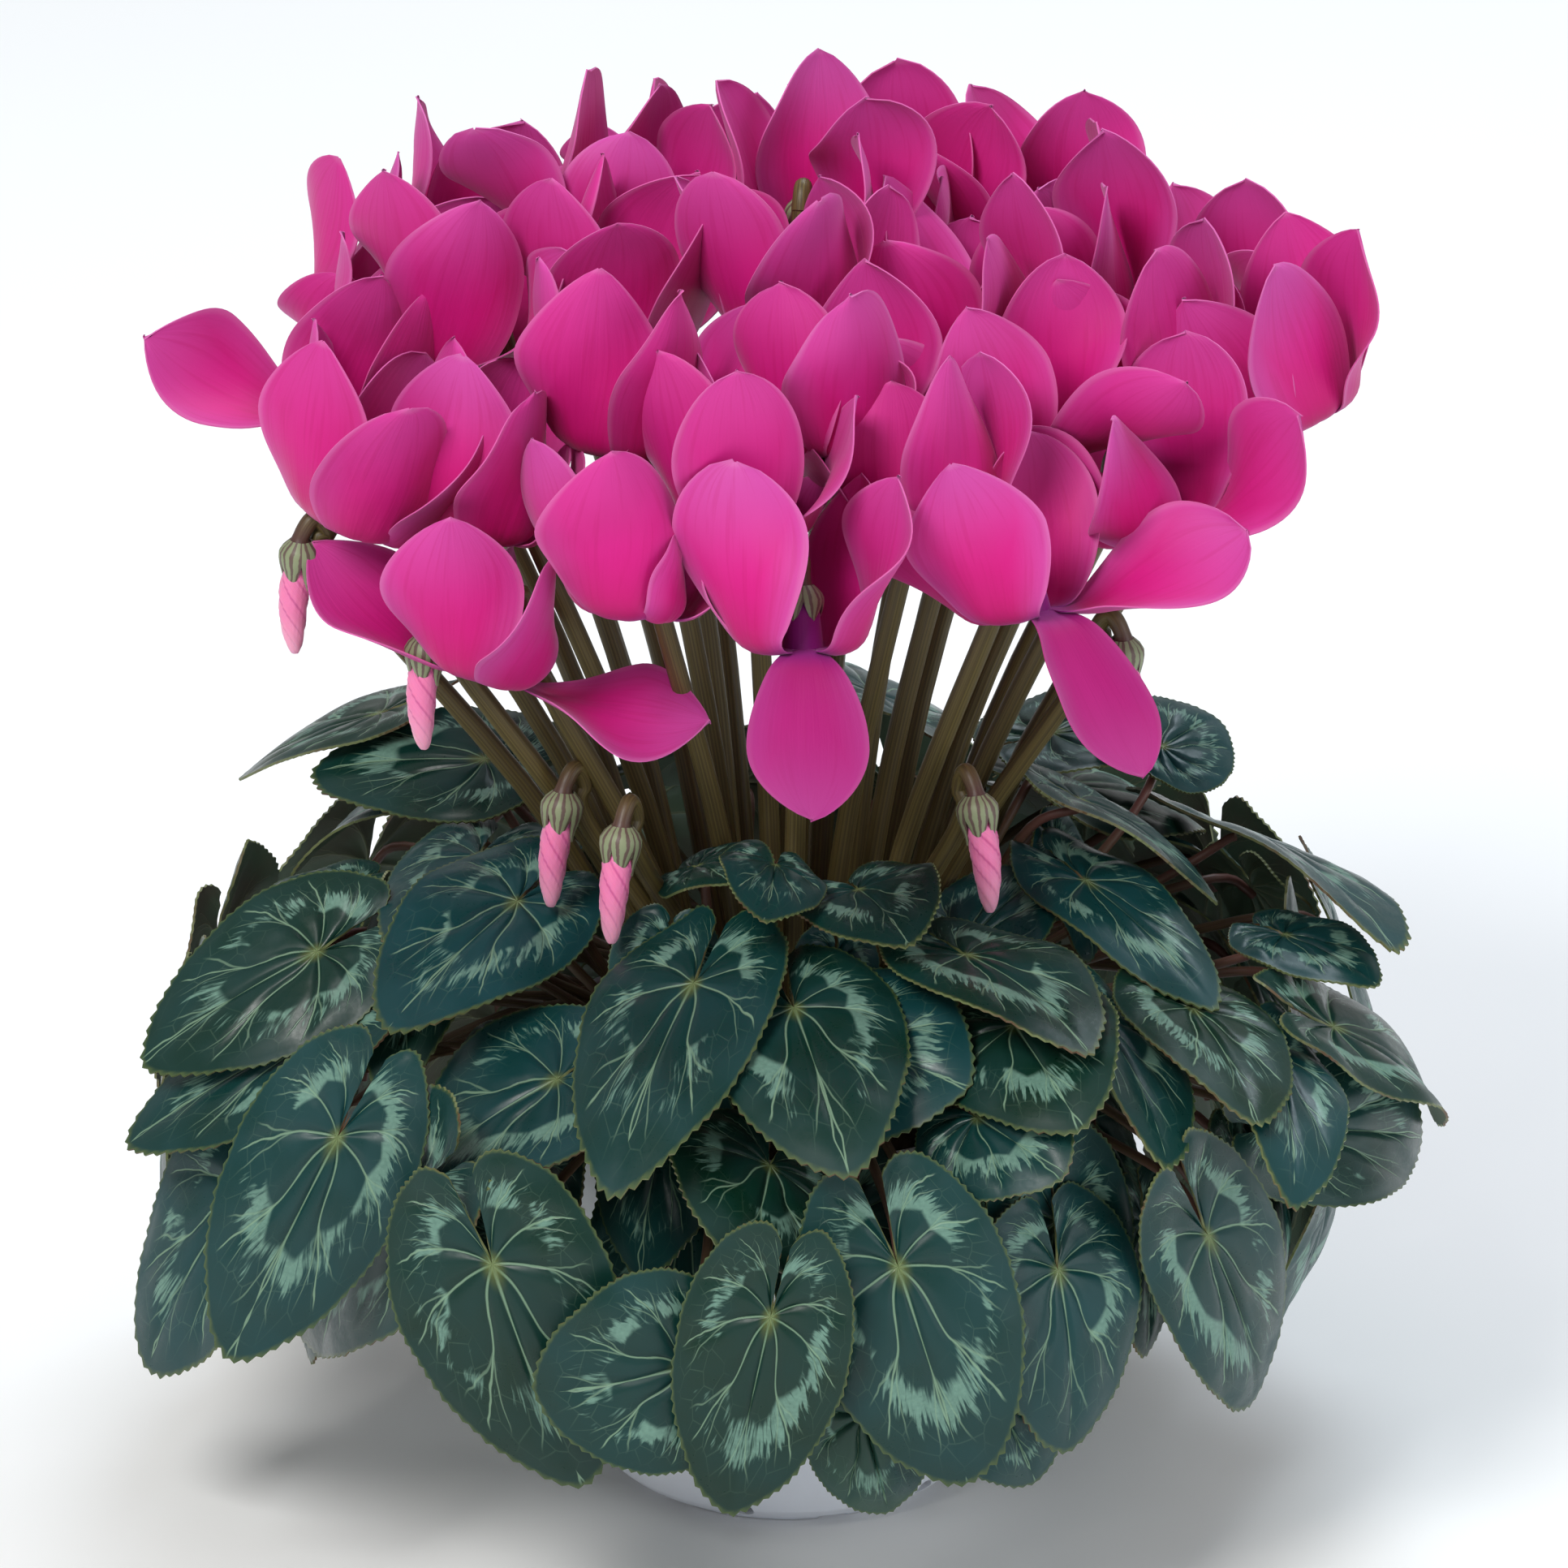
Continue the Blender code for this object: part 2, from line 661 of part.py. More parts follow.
class Leaf:
    """One leaf: its junction, tip, width and small bends, with the petiole that carries it."""

    def __init__(self, base, tip, width, normal, rng):
        self.base = base
        self.tip = tip
        self.width = width
        self.normal = normal
        self.bow = rng.uniform(0.03, 0.075)
        self.cup = rng.uniform(-0.26, 0.02)
        self.fold = rng.uniform(0.0, 0.10)
        self.wave = rng.uniform(0.012, 0.03)
        self.waves = int(rng.integers(3, 6))
        self.phase = rng.uniform(0.0, 6.28)
        self.notch = math.radians(rng.uniform(169.0, 175.0))
        self.roll = 0.0
        self.push = 0.0
        self.lift = 0.0
        self.shrink = 1.0
        self.slide = 0.0
        self.swing = 0.0
        self.rise = 0.0
        self.reach = 0.0
        self.foot = None
        self.seat = 0.0

    def frame(self):
        """Junction, and the directions along, across and out of the blade, with the length to the tip."""
        along = unit(self.tip - self.base)
        out = unit(self.normal - along * self.normal.dot(along))
        across = np.cross(out, along)
        out_turned = math.cos(self.roll) * out + math.sin(self.roll) * across
        across = np.cross(out_turned, along)
        base = self.base - self.normal * self.push + across * self.slide
        along = unit(along + out_turned * self.lift)
        out_turned = np.cross(along, across)
        length = float(np.linalg.norm(self.tip - self.base)) * self.shrink
        return base, along, across, out_turned, length

    def blade(self, thetas, shares, tooth=0.0):
        """Points of the blade's middle surface, a row for each share of the outline's radius."""
        base, along, across, out, length = self.frame()
        stretch = self.width * self.shrink / (1.2 * length)
        theta = np.array(thetas)[None, :]
        share = np.array(shares)[:, None]
        teeth = np.where(np.arange(len(thetas)) % 2 == 1, tooth, -tooth)[None, :]
        r = leaf_radius(theta) * share * (1.0 + teeth * (share == 1.0))
        x = r * np.cos(theta)
        y = r * np.sin(theta) * stretch
        z = 4.0 * self.bow * x * np.where(x >= 0.0, 1.0 - x, 1.0 + 1.1 * x)
        z = z + self.cup * y * y + self.fold * (np.sqrt(y * y + 0.004) - 0.063)
        z = z + self.wave * share * share * np.sin(self.waves * theta + self.phase)
        flat = x[..., None] * along + y[..., None] * across + z[..., None] * out
        return base + length * flat

    def petiole(self):
        """Points of the petiole from its foot on the crown to the blade."""
        base, along, _, out, _ = self.frame()
        foot_azimuth = math.atan2(self.foot[1], self.foot[0])
        outward = np.array([math.cos(foot_azimuth), math.sin(foot_azimuth), 0.0])
        beside = np.array([-outward[1], outward[0], 0.0])
        foot = self.foot + beside * self.seat * FOOT_SPACING
        r = math.hypot(base[0], base[1])
        azimuth = math.atan2(base[1], base[0])
        turn = (azimuth - foot_azimuth + math.pi) % (2.0 * math.pi) - math.pi
        bearing = foot_azimuth + turn * 0.55 + self.swing
        if base[2] < 134.0:
            reach = 0.5 * (FOOT_RING + r) + 4.0
            height = max(139.0, base[2] + 8.0)
            under = base - out * 6.0 - along * 5.0
        else:
            reach = 0.5 * (FOOT_RING + r) - 2.0
            height = 0.5 * (CORM_TOP + base[2]) + 8.0
            under = base - out * 8.0 - along * 3.0
        reach += self.reach
        shoulder = np.array([reach * math.cos(bearing), reach * math.sin(bearing), height + self.rise])
        start = foot + outward * 2.0 + beside * self.seat * 0.4 + np.array([0.0, 0.0, 11.0])
        fine = curve_through([foot, start, shoulder, under, base + along * 2.4 - out * 0.1], 3)
        return fine[np.linspace(0, len(fine) - 1, PETIOLE_STEPS + 1).round().astype(int)]


def front_leaves(rng):
    """Leaves of the front and sides, from their places in the view."""
    leaves = []
    for x0, v0, x1, v1, width, depth in FRONT_LEAVES:
        if depth is None:
            base = on_dome(x0, v0, 13.0)
            tip = on_dome(x1, v1, 1.0)
        else:
            base = sight(x0, v0, depth)
            tip = sight(x1, v1, depth * 1.25 + 8.0)
        middle = (base + tip) / 2.0
        viewer = np.array([0.0, -math.cos(VIEW_TILT), math.sin(VIEW_TILT)])
        normal = unit(dome_normal(middle) + 0.25 * viewer)
        leaves.append(Leaf(base, tip, float(width), normal, rng))
    return leaves


def back_leaves(rng):
    """Leaves of the back, in rows round the dome."""
    leaves = []
    for start, end, count, height, length in BACK_ROWS:
        for k in range(count):
            azimuth = math.radians(start + (end - start) * (k + 0.5) / count + rng.uniform(-5.0, 5.0))
            z = height + rng.uniform(-6.0, 6.0)
            r = dome_radius(z) - 13.0
            base = np.array([r * math.cos(azimuth), r * math.sin(azimuth), z])
            size = length * rng.uniform(0.88, 1.08)
            fall = z
            travelled = 0.0
            while travelled < size and fall > 26.0:
                fall -= 1.0
                travelled += math.hypot(1.0, dome_radius(fall) - dome_radius(fall + 1.0))
            slant = azimuth + rng.uniform(-0.16, 0.16)
            out = dome_radius(fall) - 1.0
            tip = np.array([out * math.cos(slant), out * math.sin(slant), fall])
            width = size * rng.uniform(0.92, 1.08)
            normal = dome_normal((base + tip) / 2.0)
            leaves.append(Leaf(base, tip, width, normal, rng))
    return leaves


def share_feet(leaves):
    """Splits the leaves into groups by azimuth, each with one foot on the crown ring."""
    azimuths = [math.atan2(leaf.base[1], leaf.base[0]) for leaf in leaves]
    order = sorted(range(len(leaves)), key=lambda i: azimuths[i])
    groups = [list(g) for g in np.array_split(order, LEAF_GROUPS)]
    means = np.array([np.mean([azimuths[i] for i in g]) for g in groups])
    spacing = 2.0 * math.pi / LEAF_GROUPS * 0.94
    for _ in range(400):
        for i in range(len(means)):
            j = (i + 1) % len(means)
            between = means[j] - means[i] + (2.0 * math.pi if j == 0 else 0.0)
            if between < spacing:
                means[j] += (spacing - between) * 0.5
                means[i] -= (spacing - between) * 0.5
    for group, mean in zip(groups, means):
        for place, i in enumerate(group):
            leaves[i].seat = place - 0.5 * (len(group) - 1)
            leaves[i].foot = np.array(
                [FOOT_RING * math.cos(mean), FOOT_RING * math.sin(mean), CORM_TOP + GAP + FOOT_HALF_HEIGHT]
            )
    return groups


def leaf_angles(leaf, spokes):
    """Directions of the outline points, from one side of the notch to the other."""
    return [leaf.notch * (2.0 * k / spokes - 1.0) for k in range(spokes + 1)]


def leaf_choices(rng):
    """Settings to try for a blade, the wished one first: pushed in, rolled, lifted, slid and at last smaller."""
    yield (0.0, 0.0, 0.0, 0.0, 1.0)
    for k in range(LEAF_TRIES):
        loose = min(1.0, 0.2 + k / 60.0)
        yield (
            rng.uniform(-13.0, 26.0) * loose,
            rng.uniform(-0.5, 0.5) * loose,
            rng.uniform(-0.34, 0.34) * loose,
            rng.uniform(-9.0, 9.0) * loose,
            1.0 - 0.4 * max(0.0, (k - 130) / (LEAF_TRIES - 130)),
        )


def route_choices(rng):
    """Ways to try for a petiole: straight to the blade, then swung round, raised and drawn in or out."""
    yield (0.0, 0.0, 0.0)
    for _ in range(ROUTE_TRIES):
        yield (rng.uniform(-0.6, 0.6), rng.uniform(-13.0, 14.0), rng.uniform(-13.0, 12.0))


def clear_route(leaf, blade, kin, clearance, rng):
    """Sets the petiole's route to one that crosses nothing but its kin, and gives its sleeve, or None."""
    for leaf.swing, leaf.rise, leaf.reach in route_choices(rng):
        stem = leaf.petiole()
        lower = clearance.tree(*tube_shell(stem[:-1], PETIOLE_RADIUS * 1.15 + CLEARANCE))
        stem[-1] -= unit(stem[-1] - stem[-2]) * 3.0
        sleeve = clearance.tree(*tube_shell(stem, PETIOLE_RADIUS * 1.15 + CLEARANCE))
        if not lower[0].overlap(blade[0]) and not clearance.crosses(sleeve, kin):
            return sleeve
    return None


def place_leaves(leaves, groups, clearance):
    """Bends each leaf clear of what is there already. Gives the leaves that found a place."""
    rng = np.random.default_rng(LEAF_SEED + 1)
    group_of = {i: g for g, members in enumerate(groups) for i in members}
    kept = []
    for i in sorted(range(len(leaves)), key=lambda i: leaves[i].base[2]):
        leaf = leaves[i]
        kin = f"petiole_{group_of[i]}"
        for leaf.push, leaf.roll, leaf.lift, leaf.slide, leaf.shrink in leaf_choices(rng):
            grid = leaf.blade(leaf_angles(leaf, LEAF_SPOKES), (0.12, LEAF_INNER_RING, 1.0))
            blade = clearance.tree(*sheet_shell(grid, LEAF_THICKNESS / 2.0 + CLEARANCE))
            if clearance.crosses(blade):
                continue
            sleeve = clear_route(leaf, blade, kin, clearance, rng)
            if sleeve is not None:
                clearance.add(f"blade_{i}", blade)
                clearance.add(kin, sleeve)
                kept.append(i)
                break
    return kept


def leaf_object(name, leaf, collection):
    """The toothed blade of a leaf as a closed solid: a primitive grid wound round the junction."""
    angles = leaf_angles(leaf, LEAF_SPOKES)
    shares = (0.0, LEAF_INNER_RING, 1.0)
    grid = leaf.blade(angles, shares, TOOTH_DEPTH)
    bm = bmesh.new()
    bmesh.ops.create_grid(bm, x_segments=LEAF_SPOKES, y_segments=2, size=0.5)
    inner = {}
    for vert in bm.verts:
        j = int(round((vert.co.x + 0.5) * LEAF_SPOKES))
        i = int(round((vert.co.y + 0.5) * 2))
        vert.co = grid[i, j]
        if i == 1:
            inner[j] = vert
    merge = {inner[j]: inner[4 * ((j + 2) // 4)] for j in range(LEAF_SPOKES) if j % 4}
    bmesh.ops.weld_verts(bm, targetmap=merge)
    bmesh.ops.remove_doubles(bm, verts=bm.verts, dist=0.01)
    bmesh.ops.triangulate(bm, faces=bm.faces, quad_method="SHORT_EDGE")
    bmesh.ops.scale(bm, verts=bm.verts, vec=(MM, MM, MM))
    bm.normal_update()
    return thickened(name, bm, LEAF_THICKNESS, collection)


def petiole_object(name, leaf, collection):
    """The petiole of a leaf, sunk into its blade and its foot."""
    path = leaf.petiole()
    radii = np.linspace(PETIOLE_RADIUS * 1.15, PETIOLE_TIP_RADIUS, len(path))
    return tube_object(name, path, radii, collection)


# The holder


def pot_outside():
    """The pot's outer profile, top to bottom."""
    band = POT_HEIGHT - POT_RIM_BAND
    return [
        (POT_RIM_RADIUS - 1.4, POT_HEIGHT),
        (POT_RIM_RADIUS, POT_HEIGHT - 1.2),
        (POT_RIM_RADIUS, band),
        (POT_RIM_RADIUS - 2.4, band - 1.4),
        (POT_BASE_RADIUS, 10.0),
        (POT_BASE_RADIUS - 1.6, 6.0),
        (POT_BASE_RADIUS - 4.6, POT_FOOT_STEP + 0.4),
        (POT_FOOT_RADIUS + 1.0, POT_FOOT_STEP),
        (POT_FOOT_RADIUS, 0.0),
    ]


def pot_inside(inset):
    """The pot's inner profile from the axis to the rim, moved inwards by an inset."""
    i = inset
    return [
        (0.0, POT_WALL + i),
        (POT_FOOT_RADIUS - 4.6 - i, POT_WALL + i),
        (POT_FOOT_RADIUS - 3.6 - i, POT_FOOT_STEP + POT_WALL + i),
        (POT_BASE_RADIUS - 5.2 - i, POT_FOOT_STEP + POT_WALL + 0.6 + i),
        (POT_BASE_RADIUS - POT_WALL - i, 10.6 + i),
        (POT_RIM_RADIUS - 4.0 - i, POT_HEIGHT - POT_RIM_BAND - 1.4),
    ]


def make_pot(collection, cutters):
    """The nursery pot: a thin turned shell with a rim band, a stepped foot, drain holes and scallops."""
    profile = [(0.0, 0.0), *reversed(pot_outside()), (POT_RIM_RADIUS - 2.4, POT_HEIGHT - 0.6)]
    profile += list(reversed(pot_inside(0.0)))
    pot = turned("pot", list(reversed(profile)), collection, POT_TURNS)
    for k in range(DRAIN_HOLES):
        angle = math.radians(360.0 * (k + 0.28) / DRAIN_HOLES)
        out = np.array([math.cos(angle), math.sin(angle), 0.0])
        inner = out * (POT_BASE_RADIUS - 12.0) + np.array([0.0, 0.0, 10.5])
        outer = out * (POT_BASE_RADIUS + 5.0) + np.array([0.0, 0.0, 2.6])
        hole = cone_object(f"drain_{k}", inner, outer, DRAIN_HOLE_RADIUS, DRAIN_HOLE_RADIUS, 6, cutters)
        hole.hide_render = True
        hole.display_type = "WIRE"
    for k in range(FOOT_SCALLOPS):
        angle = math.radians(360.0 * (k + 0.78) / FOOT_SCALLOPS)
        reach = POT_FOOT_RADIUS + FOOT_SCALLOP_RADIUS - 2.4
        at = np.array([reach * math.cos(angle), reach * math.sin(angle), 0.0])
        low = at - np.array([0.0, 0.0, 2.0])
        high = at + np.array([0.0, 0.0, POT_FOOT_STEP - 0.4])
        cut = cone_object(f"scallop_{k}", low, high, FOOT_SCALLOP_RADIUS, FOOT_SCALLOP_RADIUS, 8, cutters)
        cut.hide_render = True
        cut.display_type = "WIRE"
    cut = pot.modifiers.new("Cuts", "BOOLEAN")
    cut.operation = "DIFFERENCE"
    cut.operand_type = "COLLECTION"
    cut.collection = cutters
    cut.solver = "EXACT"
    apply_modifiers(pot)
    return pot


def corm_profile(swell):
    """The corm's profile from the top of its axis to the bottom, swollen by a little for the compost's dish."""
    s = swell
    return [
        (0.0, CORM_TOP + s),
        (CORM_SHOULDER + s * 0.4, CORM_TOP + s),
        (CORM_RADIUS - 0.6 + s, CORM_TOP - 4.0),
        (CORM_RADIUS + s, 93.0),
        (38.0 + s, 80.0 - s),
        (20.0 + s, 73.0 - s),
        (0.0, 72.0 - s),
    ]


def make_compost(collection):
    """The compost: it fills the pot, with a dish that the corm sits in."""
    bowl = [(r, z) for r, z in corm_profile(GAP) if z < COMPOST_TOP]
    edge = [(CORM_RADIUS - 0.3 + GAP, COMPOST_TOP)]
    wall = pot_inside(GAP)[:-1]
    slope = (COMPOST_TOP - wall[-1][1]) / (POT_HEIGHT - POT_RIM_BAND - 1.4 - wall[-1][1])
    top_radius = wall[-1][0] + (POT_RIM_RADIUS - 4.0 - GAP - wall[-1][0]) * slope
    profile = [*reversed(bowl), *edge, (55.0, COMPOST_TOP + 1.2), (top_radius - 0.1, COMPOST_TOP)]
    profile += list(reversed(wall))
    return turned("compost", profile, collection, POT_TURNS)


def main():
    """Clears the scene and builds the plant."""
    for obj in list(bpy.data.objects):
        bpy.data.objects.remove(obj, do_unlink=True)
    scene = bpy.context.scene.collection
    plant = bpy.data.collections.new("potted_cyclamen")
    scene.children.link(plant)
    cutters = bpy.data.collections.new("pot_cutters")
    scene.children.link(cutters)
    scratch = bpy.data.collections.new("to_join")
    scene.children.link(scratch)

    finish(make_pot(plant, cutters), (0.82, 0.85, 0.89), 0.42)
    finish(make_compost(plant), (0.035, 0.024, 0.016), 0.95)
    finish(turned("corm", corm_profile(0.0), plant, POT_TURNS), (0.10, 0.06, 0.035), 0.85)

    clearance = Clearance()
    for height, radius in ((96.0, POT_RIM_RADIUS - 2.0), (POT_HEIGHT, POT_RIM_RADIUS), (60.0, 62.0)):
        ring = [radius * np.array([math.cos(a), math.sin(a), 0.0]) for a in np.linspace(0.0, 2.0 * math.pi, 25)]
        clearance.add("pot", clearance.tree(*tube_shell([p + np.array([0, 0, height]) for p in ring], 1.6)))

    # Stalks: one body with the crown that they grow from.
    frames = [flower_frame(*row[:3], bloom_dip(row)) for row in BLOOMS]
    for x, y, z, lean in BUDS:
        mouth, axis, outer, cross = flower_frame(x, y, z, math.radians(90.0 - lean))
        frames.append((mouth + axis * CALYX_DROP, axis, outer, cross))
    roots = stalk_roots([frame[0] for frame in frames])
    pieces = [
        cone_object(
            "flower_stalks",
            np.array([0.0, 0.0, CORM_TOP + GAP]),
            np.array([0.0, 0.0, CROWN_TOP]),
            CROWN_RADIUS,
            CROWN_RADIUS - 2.0,
            20,
            scratch,
        )
    ]
    for i, (root, frame) in enumerate(zip(roots, frames)):
        path = np.array(stalk_path(root, frame))
        radii = np.linspace(STALK_RADIUS, STALK_TIP_RADIUS, len(path))
        radii[-1] = CALYX_RADIUS
        pieces.append(tube_object(f"stalk_{i}", path, radii, scratch))
        fine = curve_through(list(path), 3)
        sleeve = tube_shell(fine, STALK_RADIUS * 1.1 + CLEARANCE)
        coarse = tube_shell(path, STALK_RADIUS + CLEARANCE)
        clearance.add("stalks", clearance.tree(*sleeve))
        clearance.add("stalks", clearance.tree(*coarse))
    finish(joined("flower_stalks", pieces, plant, scratch), (0.09, 0.065, 0.028), 0.55)

    # Buds hang from their calyces.
    for i, frame in enumerate(frames[len(BLOOMS):]):
        mouth, axis = frame[0], frame[1]
        top = mouth - axis * (CALYX_DROP - GAP)
        tip = top + axis * BUD_LENGTH
        bm = bmesh.new()
        turn = Vector((0.0, 0.0, 1.0)).rotation_difference(Vector(axis)).to_matrix().to_4x4()
        swell = Matrix.Diagonal((BUD_RADIUS, BUD_RADIUS, BUD_LENGTH / 2.0, 1.0))
        place = Matrix.Translation(Vector((top + tip) / 2.0)) @ turn @ swell
        bmesh.ops.create_uvsphere(bm, u_segments=6, v_segments=5, radius=1.0, matrix=place)
        bud = mesh_from(bm, f"bud_{i + 1}", plant)
        finish(bud, (0.62, 0.16, 0.30), 0.5)
        path = np.array([top + axis * 2.0, (top + tip) / 2.0, tip])
        clearance.add("bud", clearance.tree(*tube_shell(path, BUD_RADIUS + CLEARANCE)))

    # Leaves: three or four share each foot on the crown ring.
    rng = np.random.default_rng(LEAF_SEED + 2)
    leaves = front_leaves(rng) + back_leaves(rng)
    groups = share_feet(leaves)
    kept = place_leaves(leaves, groups, clearance)

    # Blooms: each corolla is one body.
    shapes = place_petals(frames[: len(BLOOMS)], clearance)
    for i, own in enumerate(shapes):
        finish(corolla_object(f"bloom_{i + 1:02d}", frames[i], own, plant), (0.60, 0.03, 0.24), 0.5)

    for g, members in enumerate(groups):
        pieces = []
        for i in [i for i in members if i in kept]:
            pieces.append(leaf_object(f"blade_{i}", leaves[i], scratch))
            pieces.append(petiole_object(f"petiole_{i}", leaves[i], scratch))
        foot = leaves[members[0]].foot
        half = FOOT_SPACING * 0.5 * (len(members) - 1) + PETIOLE_RADIUS + 0.3
        turn = Matrix.Rotation(math.atan2(foot[1], foot[0]), 4, "Z")
        size = Matrix.Diagonal((FOOT_HALF_DEPTH * 2.0, half * 2.0, FOOT_HALF_HEIGHT * 2.0, 1.0))
        bm = bmesh.new()
        bmesh.ops.create_cube(bm, size=1.0, matrix=Matrix.Translation(Vector(foot)) @ turn @ size)
        pieces.insert(0, mesh_from(bm, f"leaves_{g + 1:02d}", scratch))
        group = joined(f"leaves_{g + 1:02d}", pieces, plant, scratch)
        finish(group, (0.02, 0.09, 0.055), 0.45)
    bpy.data.collections.remove(scratch)


main()
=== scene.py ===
"""Finish of the potted cyclamen: fine leaves, petals, stalks, buds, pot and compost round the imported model.

The places of the leaves, petals and stalks are worked out as the part's source works them out, with the
same seeds and the same order of draws, so that each fine piece lies where its solid lies. Sizes are in
millimetres, and each mesh is turned into metres when it is made. The plant's front looks along -Y, and the
pot's axis is Z.
"""

import logging
import math
from collections.abc import Iterator, Sequence
from dataclasses import dataclass, field
from enum import Enum
from typing import NamedTuple

import bmesh
import bpy
import numpy as np
from bpy.types import Material, Node, NodeOutputs, NodeSocket, NodeTree, Object
from mathutils import Matrix, Vector
from mathutils.bvhtree import BVHTree


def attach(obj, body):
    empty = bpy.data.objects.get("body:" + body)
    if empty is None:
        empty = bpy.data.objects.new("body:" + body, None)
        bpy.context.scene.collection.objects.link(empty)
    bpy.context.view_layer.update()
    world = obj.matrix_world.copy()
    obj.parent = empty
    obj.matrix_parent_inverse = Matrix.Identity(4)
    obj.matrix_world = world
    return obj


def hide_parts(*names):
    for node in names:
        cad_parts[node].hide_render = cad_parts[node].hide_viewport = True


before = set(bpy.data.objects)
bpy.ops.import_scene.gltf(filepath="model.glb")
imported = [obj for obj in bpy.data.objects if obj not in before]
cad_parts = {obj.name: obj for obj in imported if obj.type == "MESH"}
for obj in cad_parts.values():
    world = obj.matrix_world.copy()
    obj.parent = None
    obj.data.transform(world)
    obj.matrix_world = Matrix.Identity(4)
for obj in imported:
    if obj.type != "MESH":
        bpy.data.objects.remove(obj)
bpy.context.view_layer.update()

log = logging.getLogger("cyclamen")

# Metres to a millimetre, then in millimetres: the gap between pieces that touch, the room kept round a placed
# piece, and how near to each other the points of a petal's tip and of a leaf's junction are merged.
MM = 0.001
GAP = 0.3
CLEARANCE = 0.4
WELD_TIP = 0.05
WELD_SEAM = 0.02
# Seeds of the leaves' places, the petals' places, and the tints and fine bends.
LEAF_SEED = 7
PETAL_SEED = 4
TINT_SEED = 11
# Height of the corm's top, and the view that the front is read from.
CORM_TOP = 105.5
VIEW_TILT = math.radians(23.0)
VIEWER = np.array([0.0, -math.cos(VIEW_TILT), math.sin(VIEW_TILT)])
UP = np.array([0.0, 0.0, 1.0])
DOWN = np.array([0.0, 0.0, -1.0])

Shell = tuple[BVHTree, np.ndarray, np.ndarray]
Choice = tuple[float, ...]
Colour = tuple[float, float, float]
Feed = NodeSocket | float | tuple[float, ...] | None

# Leaves of the front: where the stalk joins and where the tip lies, across and up the view, then the width.
FRONT_LEAVES = (
    (-20, 155, 2, 147, 28), (4, 146, 0, 129, 27), (25, 147, 39, 124, 36), (-35, 138, -49, 87, 60),
    (41, 126, 67, 91, 43), (2, 116, 16, 70, 50), (-63, 143, -95, 104, 43), (-83, 158, -100, 121, 36),
    (70, 164, 110, 151, 43), (51, 146, 73, 160, 32), (76, 150, 106, 117, 32), (-58, 98, -100, 79, 58),
    (118, 129, 139, 113, 34), (111, 157, 141, 114, 46), (-98, 143, -110, 103, 35),
    (-112, 123, -154, 95, 46), (-100, 86, -125, 30, 52), (75, 116, 90, 75, 40), (131, 108, 172, 98, 40),
    (-15, 121, -33, 57, 54), (13, 108, 43, 96, 54), (48, 107, 66, 77, 46), (102, 115, 112, 78, 42),
    (72, 59, 75, -2, 54), (-3, 44, -14, -11, 52), (27, 56, 44, 3, 52), (-71, 57, -50, 1, 56),
    (-139, 71, -163, 26, 48), (117, 106, 113, 54, 40), (130, 87, 164, 84, 38), (2, 79, -8, 52, 52),
    (-104, 63, -146, 29, 54), (-26, 29, -62, 22, 54), (106, 61, 119, 18, 40), (45, 88, 68, 71, 40),
    (19, 16, 27, -14, 38), (50, 26, 62, 0, 36), (-118, 112, -158, 79, 42), (-115, 148, -140, 134, 36),
    (128, 150, 150, 122, 38),
)
# Leaves that stand behind the flower stalks: the same, then how far back they stand.
REAR_LEAVES = (
    (-77, 180, -120, 176, 42, 30), (-56, 180, -88, 171, 36, 20), (-98, 184, -134, 170, 42, 62),
    (98, 172, 114, 184, 34, 40), (69, 188, 106, 192, 38, 55), (92, 190, 122, 178, 40, 84),
)
# Leaves of the back, by rule: rows of azimuth start and end, count, height of the junction and length.
BACK_ROWS = (
    (28.0, 152.0, 6, 164.0, 50.0),
    (-10.0, 190.0, 10, 124.0, 62.0),
    (-22.0, 202.0, 10, 84.0, 64.0),
)
# Blooms: the mouth of the corolla (across, back, up), and the petals that hang or lie out, as the number of
# the seat and the angle from the upright. Seats are numbered as in Blooms.seats.
BLOOMS = (
    (-74, -57, 244, ((4, 92), (1, 66))), (-38, -74, 268, ()), (4, -88, 264, ((0, 150),)),
    (61, -74, 268, ((0, 152), (2, 80))), (92, -34, 274, ((0, 62),)), (131, 12, 288, ()),
    (-108, -36, 276, ()), (-112, 10, 286, ((0, 84),)), (-76, -40, 276, ()), (-10, -62, 284, ()),
    (38, -54, 280, ()), (-42, -36, 297, ()), (13, -42, 300, ()), (58, -20, 290, ((0, 72),)),
    (97, 14, 292, ()), (74, 54, 297, ()), (50, 14, 303, ()), (3, 0, 313, ()), (-42, 12, 307, ()),
    (-83, 18, 300, ()), (-108, 56, 291, ()), (-86, 96, 288, ()), (-46, 62, 313, ()), (5, 54, 315, ()),
    (26, 102, 295, ()), (68, 98, 292, ()), (-32, 110, 290, ()), (110, 66, 278, ()), (-62, 132, 260, ()),
    (12, 138, 258, ((0, 110),)),
)
# Closed buds: where the calyx ends (across, back, up) and how far the bud leans out from straight down.
BUDS = (
    (-123, -34, 268, 4.0), (-91, -54, 250, 2.0), (-57, -46, 204, 10.0), (-42, -66, 203, 12.0),
    (48, -60, 209, 14.0), (85, -36, 242, 2.0),
)


class Slot(str, Enum):
    """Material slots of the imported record."""

    POT = "pot"
    COMPOST = "compost"
    CORM = "corm"
    STALK = "stalk"
    BUD = "bud"
    PETAL = "petal"
    LEAF = "leaf"


class Face(int, Enum):
    """Places of a leaf piece's materials after that of the upper face, which is the first."""

    UNDER = 1
    EDGE = 2
    STEM = 3


def unit(v: np.ndarray) -> np.ndarray:
    """The vector at length one."""
    return v / np.linalg.norm(v)


